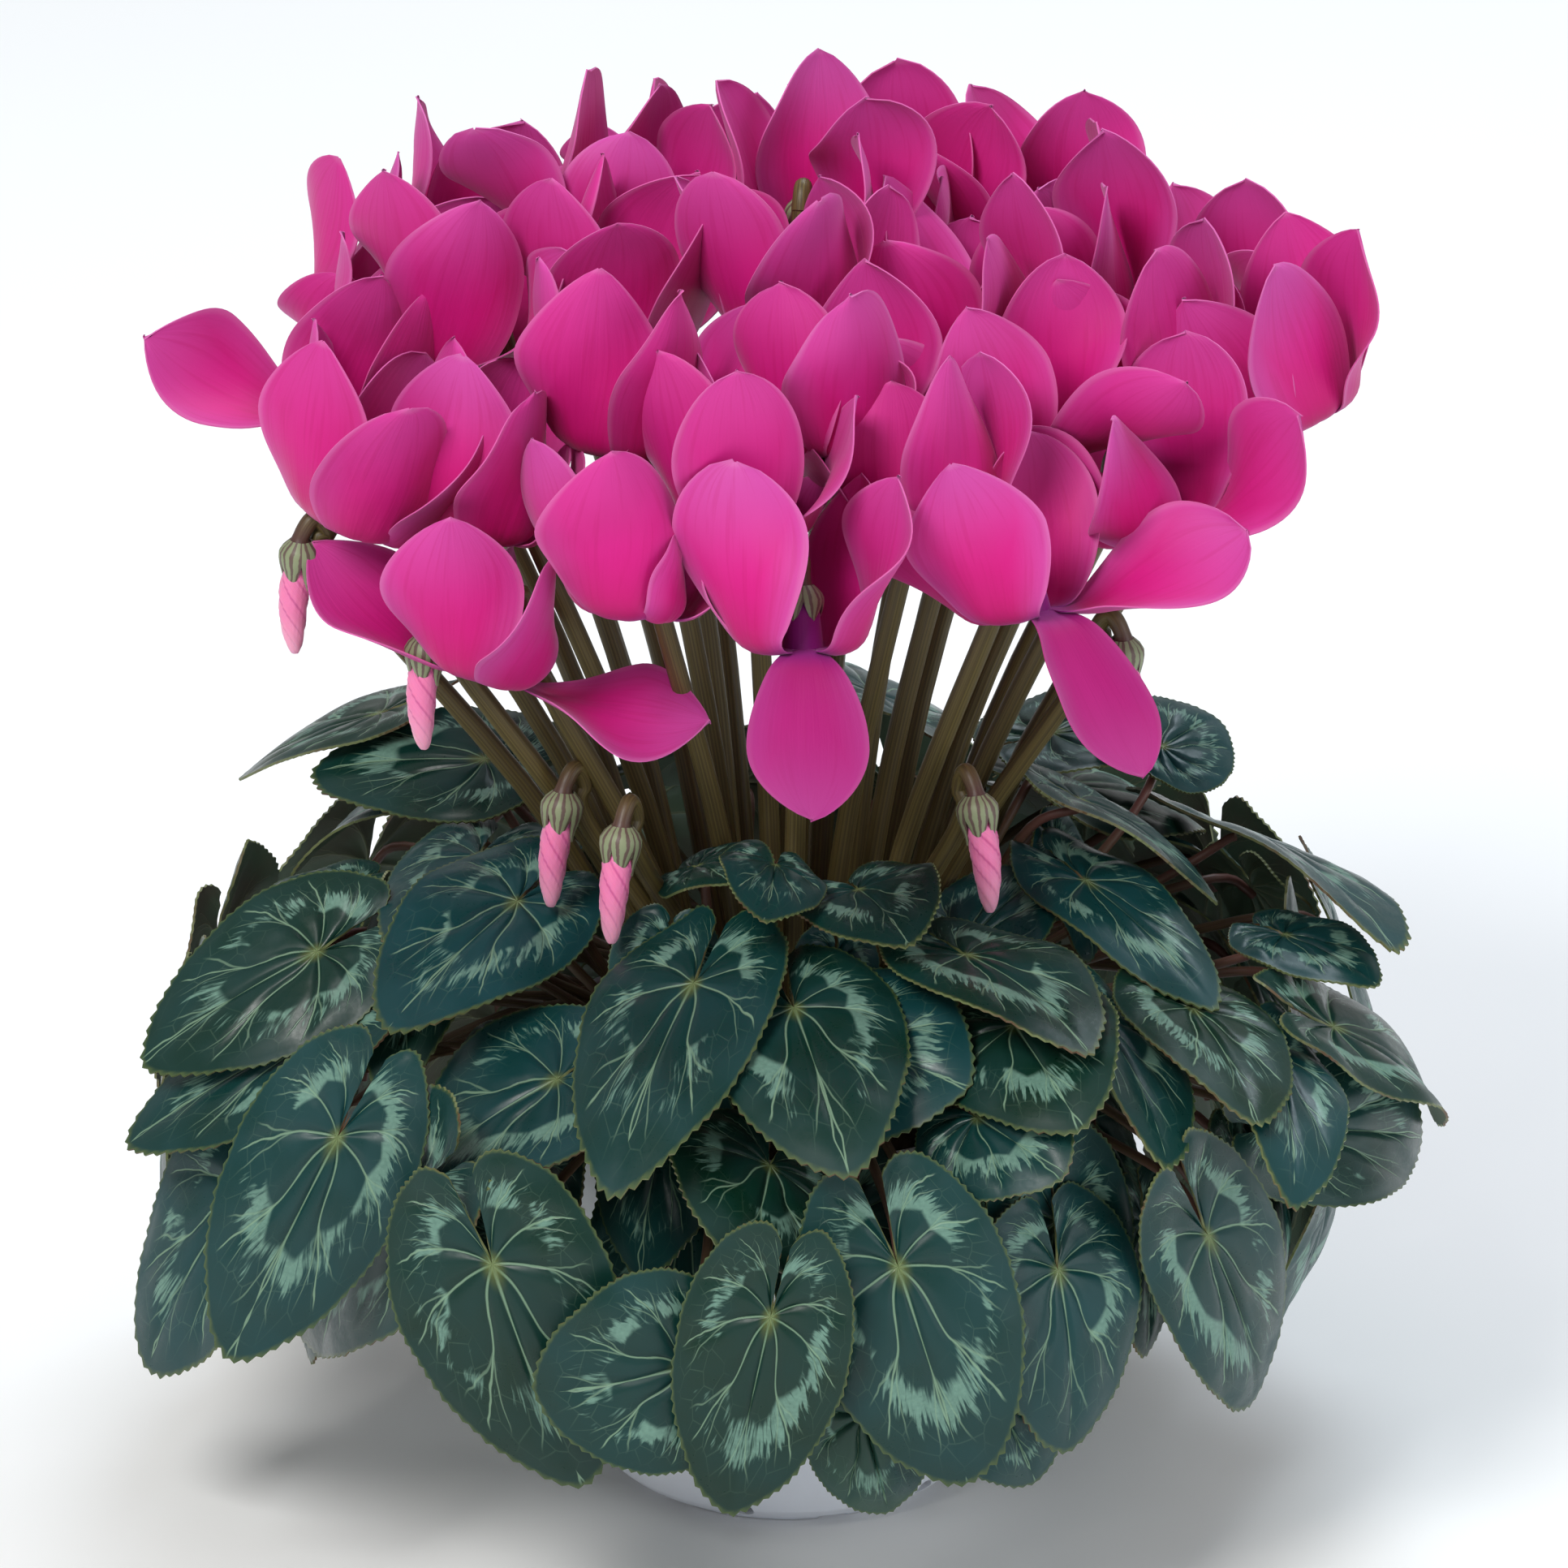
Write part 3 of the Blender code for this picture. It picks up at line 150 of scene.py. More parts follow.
def polar(radius: float, angle: float, height: float = 0.0) -> np.ndarray:
    """The place at a distance and an angle round the pot's axis."""
    return np.array([radius * math.cos(angle), radius * math.sin(angle), height])


def smooth(x: np.ndarray | float) -> np.ndarray:
    """A soft step from 0 to 1."""
    x = np.clip(x, 0.0, 1.0)
    return x * x * (3.0 - 2.0 * x)


def curve_through(points: Sequence[np.ndarray], steps: int) -> np.ndarray:
    """A smooth run of points through the given ones.

    Args:
        points: Places that the curve passes through, in order.
        steps: Points to each span.

    Returns:
        The run as rows of coordinates, on Catmull-Rom spans.
    """
    p = [2.0 * points[0] - points[1], *points, 2.0 * points[-1] - points[-2]]
    run = []
    for i in range(1, len(p) - 2):
        for k in range(steps):
            t = k / steps
            a = 2.0 * p[i]
            b = (p[i + 1] - p[i - 1]) * t
            c = (2.0 * p[i - 1] - 5.0 * p[i] + 4.0 * p[i + 1] - p[i + 2]) * t * t
            d = (3.0 * p[i] - p[i - 1] - 3.0 * p[i + 1] + p[i + 2]) * t**3
            run.append(0.5 * (a + b + c + d))
    run.append(p[-2])
    return np.array(run)


def tube_shell(path: np.ndarray, radius: float) -> tuple[np.ndarray, list[tuple[int, ...]]]:
    """A thin four-sided sleeve round a path, for the clearance tests.

    Args:
        path: Points of the middle line.
        radius: Distance of the sleeve from it.

    Returns:
        Points and faces of the sleeve.
    """
    path = np.asarray(path)
    along = np.gradient(path, axis=0)
    along /= np.linalg.norm(along, axis=1, keepdims=True)
    steep = (np.abs(along[:, 2]) >= 0.9)[:, None]
    side = np.cross(along, np.where(steep, (1.0, 0.2, 0.0), (0.31, 0.57, 0.76)))
    side /= np.linalg.norm(side, axis=1, keepdims=True)
    other = np.cross(along, side)
    ring = [path + radius * side, path + radius * other, path - radius * side, path - radius * other]
    points = np.stack(ring, axis=1)
    faces = []
    for i in range(len(path) - 1):
        for k in range(4):
            a = 4 * i + k
            b = 4 * i + (k + 1) % 4
            faces.append((a, b, b + 4, a + 4))
    return points.reshape(-1, 3), faces


def sheet_shell(grid: np.ndarray, half: float) -> tuple[np.ndarray, list[tuple[int, ...]]]:
    """Two skins either side of a grid of points, closed at the edges, for the clearance tests.

    Args:
        grid: Points of the middle surface, as rows and columns.
        half: Distance of each skin from it.

    Returns:
        Points and faces. A bent quad may be split either way, so both ways are given.
    """
    rows, columns = grid.shape[:2]
    du = np.gradient(grid, axis=1)
    dv = np.gradient(grid, axis=0)
    normal = np.cross(du, dv)
    length = np.linalg.norm(normal, axis=2, keepdims=True)
    normal = normal / np.maximum(length, 1e-9)
    if rows > 2:
        normal[0] = normal[1]
        normal[-1] = normal[-2]
    points = np.concatenate([(grid + half * normal).reshape(-1, 3), (grid - half * normal).reshape(-1, 3)])
    faces = []
    for skin in (0, rows * columns):
        for i in range(rows - 1):
            for j in range(columns - 1):
                a = skin + i * columns + j
                b = a + columns
                faces += [(a, a + 1, b + 1), (a, b + 1, b), (a, a + 1, b), (a + 1, b + 1, b)]
    around = [(i, 0) for i in range(rows)] + [(rows - 1, j) for j in range(1, columns)]
    around += [(i, columns - 1) for i in range(rows - 2, -1, -1)]
    rim = [i * columns + j for i, j in around]
    for a, b in zip(rim, rim[1:]):
        faces.append((a, b, b + rows * columns, a + rows * columns))
    return points, faces


class Clearance:
    """What has been placed so far, and whether a new shape would cross it."""

    def __init__(self) -> None:
        """Starts with nothing placed."""
        self.labels: list[str] = []
        self.trees: list[BVHTree] = []
        self.lows = np.empty((0, 3))
        self.highs = np.empty((0, 3))

    @staticmethod
    def tree(points: np.ndarray, faces: list[tuple[int, ...]]) -> Shell:
        """A search tree of a shell, with the corners of its box."""
        return BVHTree.FromPolygons(points.tolist(), faces), points.min(axis=0), points.max(axis=0)

    def crosses(self, shell: Shell, kin: str | None = None) -> bool:
        """Whether the shell crosses any placed shape, apart from those labelled as its kin."""
        tree, low, high = shell
        near = ((self.lows <= high) & (self.highs >= low)).all(axis=1)
        for i in np.nonzero(near)[0]:
            if self.labels[i] != kin and tree.overlap(self.trees[i]):
                return True
        return False

    def add(self, label: str, shell: Shell) -> None:
        """Keeps a shell as placed."""
        self.labels.append(label)
        self.trees.append(shell[0])
        self.lows = np.vstack([self.lows, shell[1]])
        self.highs = np.vstack([self.highs, shell[2]])


def deselect_all() -> None:
    """Leaves nothing selected, as an operator acts on all that is."""
    for obj in bpy.context.selected_objects:
        obj.select_set(False)


def make_active(obj: Object) -> None:
    """Selects one object and makes it the active one."""
    deselect_all()
    obj.select_set(True)
    bpy.context.view_layer.objects.active = obj


def apply_modifiers(obj: Object) -> None:
    """Applies the object's modifiers in order."""
    make_active(obj)
    for modifier in list(obj.modifiers):
        bpy.ops.object.modifier_apply(modifier=modifier.name)


def joined(name: str, pieces: Sequence[Object]) -> Object:
    """One object of several, under a new name.

    Args:
        name: Name of the whole.
        pieces: The objects to join, whose materials stand in the same order.

    Returns:
        The joined object.
    """
    make_active(pieces[0])
    for piece in pieces[1:]:
        piece.select_set(True)
    if len(pieces) > 1:
        bpy.ops.object.join()
    whole = bpy.context.view_layer.objects.active
    whole.name = name
    whole.data.name = name
    return whole


def declare(piece: Object, slot: Slot, *nodes: str) -> None:
    """Rides a piece on the plant, in the place of CAD nodes.

    Args:
        piece: The finished piece.
        slot: Slot of the record that its finish comes from; not used.
        *nodes: The CAD nodes that it replaces.
    """
    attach(piece, "root")
    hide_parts(*nodes)
    log.info("%s: %d faces, for %s", piece.name, len(piece.data.polygons), ", ".join(nodes))


def shade_round(obj: Object, angle: float) -> None:
    """Shades the object smooth, with creases where faces meet at more than the angle in degrees."""
    make_active(obj)
    bpy.ops.object.shade_smooth_by_angle(angle=math.radians(angle))


class SheetPattern:
    """A primitive grid that thin sheets are copied from, each copy with its own mesh shaped to its points."""

    def __init__(self, rows: int, columns: int, uv_name: str, thin: float = 1.0) -> None:
        """Adds the grid.

        Args:
            rows: Points along the sheet.
            columns: Points across it.
            uv_name: Name of its UV map.
            thin: Share of the thickness that is left at the sheet's sides and end.
        """
        deselect_all()
        bpy.ops.mesh.primitive_grid_add(x_subdivisions=columns - 1, y_subdivisions=rows - 1, size=1.0)
        self.pattern = bpy.context.active_object
        places = points_of(self.pattern)
        self.column = np.rint((places[:, 0] + 0.5) * (columns - 1)).astype(int)
        self.row = np.rint((places[:, 1] + 0.5) * (rows - 1)).astype(int)
        self.corners = corners_of(self.pattern)
        self.pattern.data.uv_layers[0].name = uv_name
        if thin < 1.0:
            group = self.pattern.vertex_groups.new(name="thickness")
            side = np.abs(2.0 * self.column / (columns - 1) - 1.0)
            end = self.row / (rows - 1)
            left = 1.0 - (1.0 - thin) * np.maximum(smooth(side * 1.4 - 0.4), smooth(end * 2.5 - 1.5))
            for index, weight in enumerate(left):
                group.add([index], float(weight), "REPLACE")

    def shaped(self, name: str, points: np.ndarray, uv: np.ndarray) -> Object:
        """A copy of the grid with its points and UV places set.

        Args:
            name: Name of the new object.
            points: Places in millimetres, as rows and columns.
            uv: UV places, as rows and columns.

        Returns:
            The new object, one open sheet.
        """
        sheet = self.pattern.copy()
        sheet.data = self.pattern.data.copy()
        sheet.name = name
        bpy.context.collection.objects.link(sheet)
        move_points(sheet, points[self.row, self.column])
        spread = uv[self.row, self.column][self.corners]
        sheet.data.uv_layers[0].data.foreach_set("uv", spread.astype(np.float32).ravel())
        sheet.data.update()
        return sheet

    def remove(self) -> None:
        """Takes the pattern out of the scene."""
        bpy.data.objects.remove(self.pattern)


def sheet_map(rows: np.ndarray, columns: np.ndarray) -> np.ndarray:
    """UV places of a sheet, from 0 to 1 across it and along it."""
    return np.stack(np.broadcast_arrays((columns[None, :] + 1.0) / 2.0, rows[:, None]), axis=-1)


def weld_sheet(sheet: Object, within: float) -> None:
    """Merges the points of a sheet that lie within a distance of each other, in millimetres."""
    bm = bmesh.new()
    bm.from_mesh(sheet.data)
    bmesh.ops.remove_doubles(bm, verts=bm.verts, dist=within * MM)
    bm.to_mesh(sheet.data)
    bm.free()


def thicken(sheet: Object, thickness: float, under: int = 0, rim: int = 0) -> None:
    """Gives an open sheet its thickness, half to each side.

    Args:
        sheet: The sheet.
        thickness: Thickness in millimetres.
        under: Step from the upper face's material to the under face's.
        rim: Step from the upper face's material to the edge's.
    """
    solidify = sheet.modifiers.new("Thickness", "SOLIDIFY")
    solidify.thickness = thickness * MM
    solidify.offset = 0.0
    solidify.material_offset = under
    solidify.material_offset_rim = rim
    if sheet.vertex_groups:
        solidify.vertex_group = sheet.vertex_groups[0].name
        solidify.thickness_vertex_group = 0.2
    apply_modifiers(sheet)
    sheet.vertex_groups.clear()


def points_of(obj: Object) -> np.ndarray:
    """Places of an object's points, as rows of coordinates in its own unit."""
    places = np.empty(len(obj.data.vertices) * 3)
    obj.data.vertices.foreach_get("co", places)
    return places.reshape(-1, 3)


def corners_of(obj: Object) -> np.ndarray:
    """The point that each face corner of an object stands on."""
    corners = np.empty(len(obj.data.loops), int)
    obj.data.loops.foreach_get("vertex_index", corners)
    return corners


def move_points(obj: Object, places: np.ndarray) -> None:
    """Sets the places of an object's points, given in millimetres."""
    obj.data.vertices.foreach_set("co", (places * MM).astype(np.float32).ravel())


def mark(obj: Object, name: str, values: Sequence[float]) -> None:
    """Writes one colour attribute of equal values over the whole object, which its material reads."""
    layer = obj.data.attributes.new(name, "FLOAT_COLOR", "POINT")
    layer.data.foreach_set("color", np.tile(np.array([*values, 1.0], np.float32), len(obj.data.vertices)))


def stem(
    name: str, path: np.ndarray, radii: np.ndarray, sides: int, map_name: str, axis: np.ndarray | None = None
) -> Object:
    """A round tapered stem along a path, closed at both ends.

    Args:
        name: Name of the object.
        path: Points of the middle line, in millimetres.
        radii: Radius at each point.
        sides: Points round the stem.
        map_name: Name of its UV map, which holds the way round and the way along.
        axis: Direction that all rings stand square to, or None where each is square to the path.

    Returns:
        The stem as a mesh object.
    """
    deselect_all()
    bpy.ops.mesh.primitive_cylinder_add(vertices=sides, radius=1.0, depth=1.0, end_fill_type="NOTHING")
    obj = bpy.context.active_object
    obj.name = name
    bm = bmesh.new()
    bm.from_mesh(obj.data)
    bm.clear()
    along = np.gradient(path, axis=0) if axis is None else np.tile(axis, (len(path), 1))
    along /= np.linalg.norm(along, axis=1, keepdims=True)
    side = np.cross(along[0], (0.31, 0.57, 0.76))
    rings = []
    for place, direction, radius in zip(path, along, radii):
        side = unit(side - direction * side.dot(direction))
        other = np.cross(direction, side)
        ring = []
        for k in range(sides):
            turn = 2.0 * math.pi * k / sides
            ring.append(bm.verts.new(place + radius * (math.cos(turn) * side + math.sin(turn) * other)))
        rings.append(ring)
    layer = bm.loops.layers.uv.new(map_name)
    for i, (low, high) in enumerate(zip(rings, rings[1:])):
        for k in range(sides):
            n = (k + 1) % sides
            quad = bm.faces.new((low[k], low[n], high[n], high[k]))
            around = ((k, i), (k + 1, i), (k + 1, i + 1), (k, i + 1))
            for loop, (u, v) in zip(quad.loops, around):
                loop[layer].uv = (u / sides, v / (len(path) - 1))
    for ring, end in ((rings[0][::-1], 0.0), (rings[-1], 1.0)):
        cap = bm.faces.new(ring)
        for loop in cap.loops:
            loop[layer].uv = (0.5, end)
    bmesh.ops.scale(bm, verts=bm.verts, vec=(MM, MM, MM))
    bm.to_mesh(obj.data)
    bm.free()
    obj.data.shade_smooth()
    return obj


def spun(name: str, profile: Sequence[tuple[float, float]], steps: int) -> Object:
    """A profile of (radius, height) spun round the pot's axis.

    Args:
        name: Name of the object.
        profile: Corners in millimetres, either closed or from axis to axis.
        steps: Faces round the axis.

    Returns:
        The turned object, facing outwards.
    """
    deselect_all()
    bpy.ops.mesh.primitive_plane_add(size=1.0)
    obj = bpy.context.active_object
    obj.name = name
    bm = bmesh.new()
    corners = [bm.verts.new((r * MM, 0.0, z * MM)) for r, z in profile]
    for a, b in zip(corners, corners[1:]):
        bm.edges.new((a, b))
    if profile[0][0] > 0.0:
        bm.edges.new((corners[-1], corners[0]))
    bm.to_mesh(obj.data)
    bm.free()
    bpy.ops.object.mode_set(mode="EDIT")
    bpy.ops.mesh.select_all(action="SELECT")
    bpy.ops.mesh.spin(steps=steps, angle=2.0 * math.pi, center=(0.0, 0.0, 0.0), axis=(0.0, 0.0, 1.0))
    bpy.ops.mesh.select_all(action="SELECT")
    bpy.ops.mesh.remove_doubles(threshold=0.00001)
    bpy.ops.mesh.normals_make_consistent(inside=False)
    bpy.ops.object.mode_set(mode="OBJECT")
    return obj


def roughened(obj: Object, seed: int, coarse: float, fine: float, low: float) -> None:
    """Moves the points above a height in and out a little, as crumbs or bark do.

    Args:
        obj: The object to change.
        seed: Seed of the draws.
        coarse: Size of the broad lumps, in millimetres.
        fine: Size of the small grain.
        low: Height in millimetres under which nothing moves.
    """
    rng = np.random.default_rng(seed)
    places = points_of(obj) / MM
    waves = rng.uniform(-0.32, 0.32, (9, 3))
    phases = rng.uniform(0.0, 6.28, 9)
    lumps = coarse * 2.0 * np.sin(places @ waves.T + phases).mean(axis=1)
    grain = fine * rng.uniform(-1.0, 1.0, len(places))
    places[:, 2] += (lumps + grain) * smooth((places[:, 2] - low) / 3.0)
    move_points(obj, places)
    obj.data.update()


class Wiring:
    """Adds nodes to one tree, fed by sockets or by plain values."""

    def __init__(self, tree: NodeTree) -> None:
        """Keeps the tree."""
        self.tree = tree

    def node(self, kind: str, **settings: object) -> Node:
        """A new node with its settings."""
        made = self.tree.nodes.new(kind)
        for name, setting in settings.items():
            setattr(made, name, setting)
        return made

    def feed(self, socket: NodeSocket, value: Feed) -> None:
        """Links a socket to another, or sets its plain value."""
        if isinstance(value, NodeSocket):
            self.tree.links.new(value, socket)
        elif value is not None:
            socket.default_value = value

    def maths(self, operation: str, *values: Feed) -> NodeSocket:
        """The result of a Math node on one, two or three values."""
        made = self.node("ShaderNodeMath", operation=operation)
        for socket, value in zip(made.inputs, values):
            self.feed(socket, value)
        return made.outputs[0]

    def plus(self, first: Feed, second: Feed) -> NodeSocket:
        """Two values added."""
        return self.maths("ADD", first, second)

    def less(self, first: Feed, second: Feed) -> NodeSocket:
        """The first value less the second."""
        return self.maths("SUBTRACT", first, second)

    def times(self, first: Feed, second: Feed) -> NodeSocket:
        """Two values multiplied."""
        return self.maths("MULTIPLY", first, second)

    def line(self, value: Feed, slope: Feed, start: Feed) -> NodeSocket:
        """A value times a slope, from a start."""
        return self.maths("MULTIPLY_ADD", value, slope, start)

    def step(self, value: Feed, low: Feed, high: Feed) -> NodeSocket:
        """A soft step that is 0 at low and 1 at high."""
        made = self.node("ShaderNodeMapRange", interpolation_type="SMOOTHSTEP")
        for name, given in (("Value", value), ("From Min", low), ("From Max", high)):
            self.feed(made.inputs[name], given)
        return made.outputs["Result"]

    def mixed(self, factor: Feed, first: Feed, second: Feed) -> NodeSocket:
        """Two colours mixed, with the second at factor 1."""
        made = self.node("ShaderNodeMix", data_type="RGBA")
        for index, value in ((0, factor), (6, self.opaque(first)), (7, self.opaque(second))):
            self.feed(made.inputs[index], value)
        return made.outputs[2]

    @staticmethod
    def opaque(colour: Feed) -> Feed:
        """A plain colour with its alpha, or the socket as it is."""
        return (*colour, 1.0) if isinstance(colour, tuple) else colour

    def spot(self) -> NodeSocket:
        """The place on the object."""
        return self.node("ShaderNodeTexCoord").outputs["Object"]

    def chart(self, uv_map: str) -> NodeSocket:
        """The place on a UV map."""
        return self.node("ShaderNodeUVMap", uv_map=uv_map).outputs[0]

    def split(self, vector: Feed) -> NodeOutputs:
        """The three parts of a vector."""
        made = self.node("ShaderNodeSeparateXYZ")
        self.feed(made.inputs[0], vector)
        return made.outputs

    def tint(self, attribute: str) -> NodeOutputs:
        """The three parts of a colour attribute."""
        made = self.node("ShaderNodeSeparateColor")
        self.feed(made.inputs[0], self.node("ShaderNodeAttribute", attribute_name=attribute).outputs["Color"])
        return made.outputs

    def group(self, tree: NodeTree, **values: Feed) -> NodeOutputs:
        """The outputs of a node group fed with values, whose names are given with underscores."""
        made = self.node("ShaderNodeGroup", node_tree=tree)
        for name, value in values.items():
            self.feed(made.inputs[name.replace("_", " ")], value)
        return made.outputs

    def moved(self, vector: Feed, scale: float | Colour, offset: Feed) -> NodeSocket:
        """A place scaled, then moved by an offset."""
        made = self.node("ShaderNodeVectorMath", operation="MULTIPLY_ADD")
        self.feed(made.inputs[0], vector)
        self.feed(made.inputs[1], (scale, scale, scale) if isinstance(scale, float) else scale)
        self.feed(made.inputs[2], offset)
        return made.outputs[0]

    def noise(self, vector: Feed, scale: float, detail: float = 3.0) -> NodeSocket:
        """A noise value from 0 to 1."""
        made = self.node("ShaderNodeTexNoise")
        for name, given in (("Vector", vector), ("Scale", scale), ("Detail", detail)):
            self.feed(made.inputs[name], given)
        return made.outputs["Fac"]

    def bump(self, height: Feed, strength: float, distance: float) -> NodeSocket:
        """A normal from a height, with the distance in millimetres."""
        made = self.node("ShaderNodeBump")
        for name, given in (("Height", height), ("Strength", strength), ("Distance", distance * MM)):
            self.feed(made.inputs[name], given)
        return made.outputs["Normal"]


def new_group(name: str, places: Sequence[str], values: Sequence[str], outputs: Sequence[str]) -> tuple:
    """A shader node group with named inputs and outputs.

    Args:
        name: Name of the group.
        places: Names of the inputs that are vectors.
        values: Names of the inputs that are plain values.
        outputs: Names of the outputs, which are all plain values.

    Returns:
        The tree, its wiring, the sockets of its input node and those of its output node.
    """
    tree = bpy.data.node_groups.new(name, "ShaderNodeTree")
    for in_out, kind, labels in (
        ("INPUT", "NodeSocketVector", places), ("INPUT", "NodeSocketFloat", values),
        ("OUTPUT", "NodeSocketFloat", outputs),
    ):
        for label in labels:
            tree.interface.new_socket(name=label, in_out=in_out, socket_type=kind)
    wiring = Wiring(tree)
    return tree, wiring, wiring.node("NodeGroupInput").outputs, wiring.node("NodeGroupOutput").inputs


def new_material(name: str) -> tuple[Material, Wiring, Node]:
    """A material with its wiring and its Principled shader."""
    material = bpy.data.materials.new(name)
    material.use_nodes = True
    return material, Wiring(material.node_tree), material.node_tree.nodes["Principled BSDF"]


def dress(w: Wiring, shader: Node, colour: Feed, roughness: Feed, normal: Feed = None) -> None:
    """Feeds a shader's colour, roughness and normal."""
    for name, value in (("Base Color", colour), ("Roughness", roughness), ("Normal", normal)):
        w.feed(shader.inputs[name], value)


def set_sockets(shader: Node, **values: float | tuple[float, ...]) -> None:
    """Sets plain values on the shader's own sockets, whose names are given with underscores."""
    for name, value in values.items():
        shader.inputs[name.replace("_", " ")].default_value = value


# How the veins fan out from the stalk's junction: the angle between neighbours, how far they bend to the tip,
# how far ahead of it the side veins start, and where and how wide they fork.
VEIN_SPREAD = 0.70
VEIN_CURL = 0.20
VEIN_START = 0.17
FORK_START = 0.36
FORK_WIDTH = 0.33


@dataclass(frozen=True)
class LeafMarking:
    """The node group of a leaf's veins and silver band, read from the leaf's own map.

    The map holds the share of the way from the junction to the edge as a length, and the way round as an
    angle.
    """

    vein_width: float = 0.018
    net_scale: float = 6.5
    net_strength: float = 0.14
    fork_strength: float = 0.6
    band_inner: float = 0.50
    band_outer: float = 0.72

    def own_place(self, w: Wiring, place: Feed, seed: Feed) -> NodeSocket:
        """The place on the map, moved by the leaf's own seed."""
        shift = w.node("ShaderNodeCombineXYZ")
        for socket, scale in zip(shift.inputs, (31.0, 17.0, 11.0)):
            w.feed(socket, w.times(seed, scale))
        return w.moved(place, 1.0, shift.outputs[0])

    def fan(self, w: Wiring, place: Feed, share: Feed, wobble: Feed) -> NodeSocket:
        """The way round, in steps from vein to vein, with the midrib at 0."""
        split = w.split(place)
        wide = w.maths("ABSOLUTE", w.maths("ARCTAN2", split[1], split[0]))
        ahead = w.times(w.times(w.step(wide, 1.25, 0.35), VEIN_START), w.step(share, 0.1, 0.45))
        angle = w.maths("ABSOLUTE", w.maths("ARCTAN2", split[1], w.less(split[0], ahead)))
        curl = w.less(1.0, w.times(w.maths("POWER", share, 1.5), VEIN_CURL))
        fan = w.maths("DIVIDE", angle, w.times(curl, VEIN_SPREAD))
        return w.plus(fan, w.times(wobble, w.times(share, 0.42)))

    def veins(self, w: Wiring, fan: Feed, off: Feed, share: Feed) -> NodeSocket:
        """The main veins and their forks, which taper to the edge."""
        reach = w.times(share, VEIN_SPREAD)
        width = w.line(share, -0.4 * self.vein_width, self.vein_width)
        main = w.step(w.times(off, reach), width, w.times(width, 0.35))
        ends = w.line(w.step(fan, 0.5, 0.4), 0.1, 0.87)
        main = w.times(main, w.step(share, w.plus(ends, 0.05), w.less(ends, 0.03)))
        open_by = w.times(w.step(share, FORK_START, 0.95), FORK_WIDTH)
        aside = w.times(w.maths("ABSOLUTE", w.less(off, open_by)), reach)
        thin = w.times(width, 0.8)
        fork = w.step(aside, thin, w.times(thin, 0.3))
        window = w.times(w.step(share, FORK_START + 0.06, FORK_START + 0.14), w.step(share, 0.86, 0.72))
        return w.maths("MAXIMUM", main, w.times(fork, w.times(window, self.fork_strength)))

    def net(self, w: Wiring, place: Feed, share: Feed) -> NodeSocket:
        """The fine net between the veins, in the outer part of the leaf."""
        cells = w.node("ShaderNodeTexVoronoi", feature="DISTANCE_TO_EDGE", voronoi_dimensions="2D")
        w.feed(cells.inputs["Vector"], place)
        w.feed(cells.inputs["Scale"], self.net_scale)
        net = w.step(cells.outputs["Distance"], 0.035, 0.0)
        window = w.times(w.step(share, 0.4, 0.6), w.step(share, 0.97, 0.8))
        return w.times(w.times(net, window), self.net_strength)

    def band(self, w: Wiring, place: Feed, brushed: Feed, off: Feed, share: Feed) -> NodeSocket:
        """The silver band, with a brushed outer edge and worn patches."""
        streaks = w.noise(brushed, 5.0, 3.0)
        patches = w.noise(place, 2.6, 2.0)
        inner = w.line(off, 0.16, self.band_inner - 0.05)
        outer = w.line(streaks, 0.5, self.band_outer - 0.27)
        silver = w.step(share, inner, w.plus(inner, 0.05))
        silver = w.times(silver, w.step(share, w.plus(outer, 0.03), w.less(outer, 0.05)))
        ragged = w.plus(patches, w.times(w.less(streaks, 0.5), 0.45))
        return w.times(silver, w.step(ragged, 0.46, 0.58))

    def make(self) -> NodeTree:
        """Builds the group: veins, silver band, share of the way to the edge, and relief."""
        tree, w, given, out = new_group(
            "leaf_marking", ("Map",), ("Seed",), ("Vein", "Silver", "Share", "Relief")
        )
        place, seed = given["Map"], given["Seed"]
        own = self.own_place(w, place, seed)
        length = w.node("ShaderNodeVectorMath", operation="LENGTH")
        w.feed(length.inputs[0], place)
        share = length.outputs["Value"]
        fan = self.fan(w, place, share, w.less(w.noise(own, 3.2, 2.0), 0.5))
        off = w.maths("PINGPONG", fan, 0.5)
        bold = self.veins(w, fan, off, share)
        brushed = w.node("ShaderNodeCombineXYZ")
        for socket, value in zip(brushed.inputs, (w.times(fan, 3.2), share, seed)):
            w.feed(socket, value)
        swell = w.times(w.step(off, 0.0, 0.32), w.step(share, 0.98, 0.7))
        w.feed(out["Vein"], w.maths("MAXIMUM", bold, self.net(w, own, share)))
        w.feed(out["Silver"], self.band(w, own, brushed.outputs[0], off, share))
        w.feed(out["Share"], share)
        w.feed(out["Relief"], w.less(swell, w.times(bold, 0.55)))
        return tree


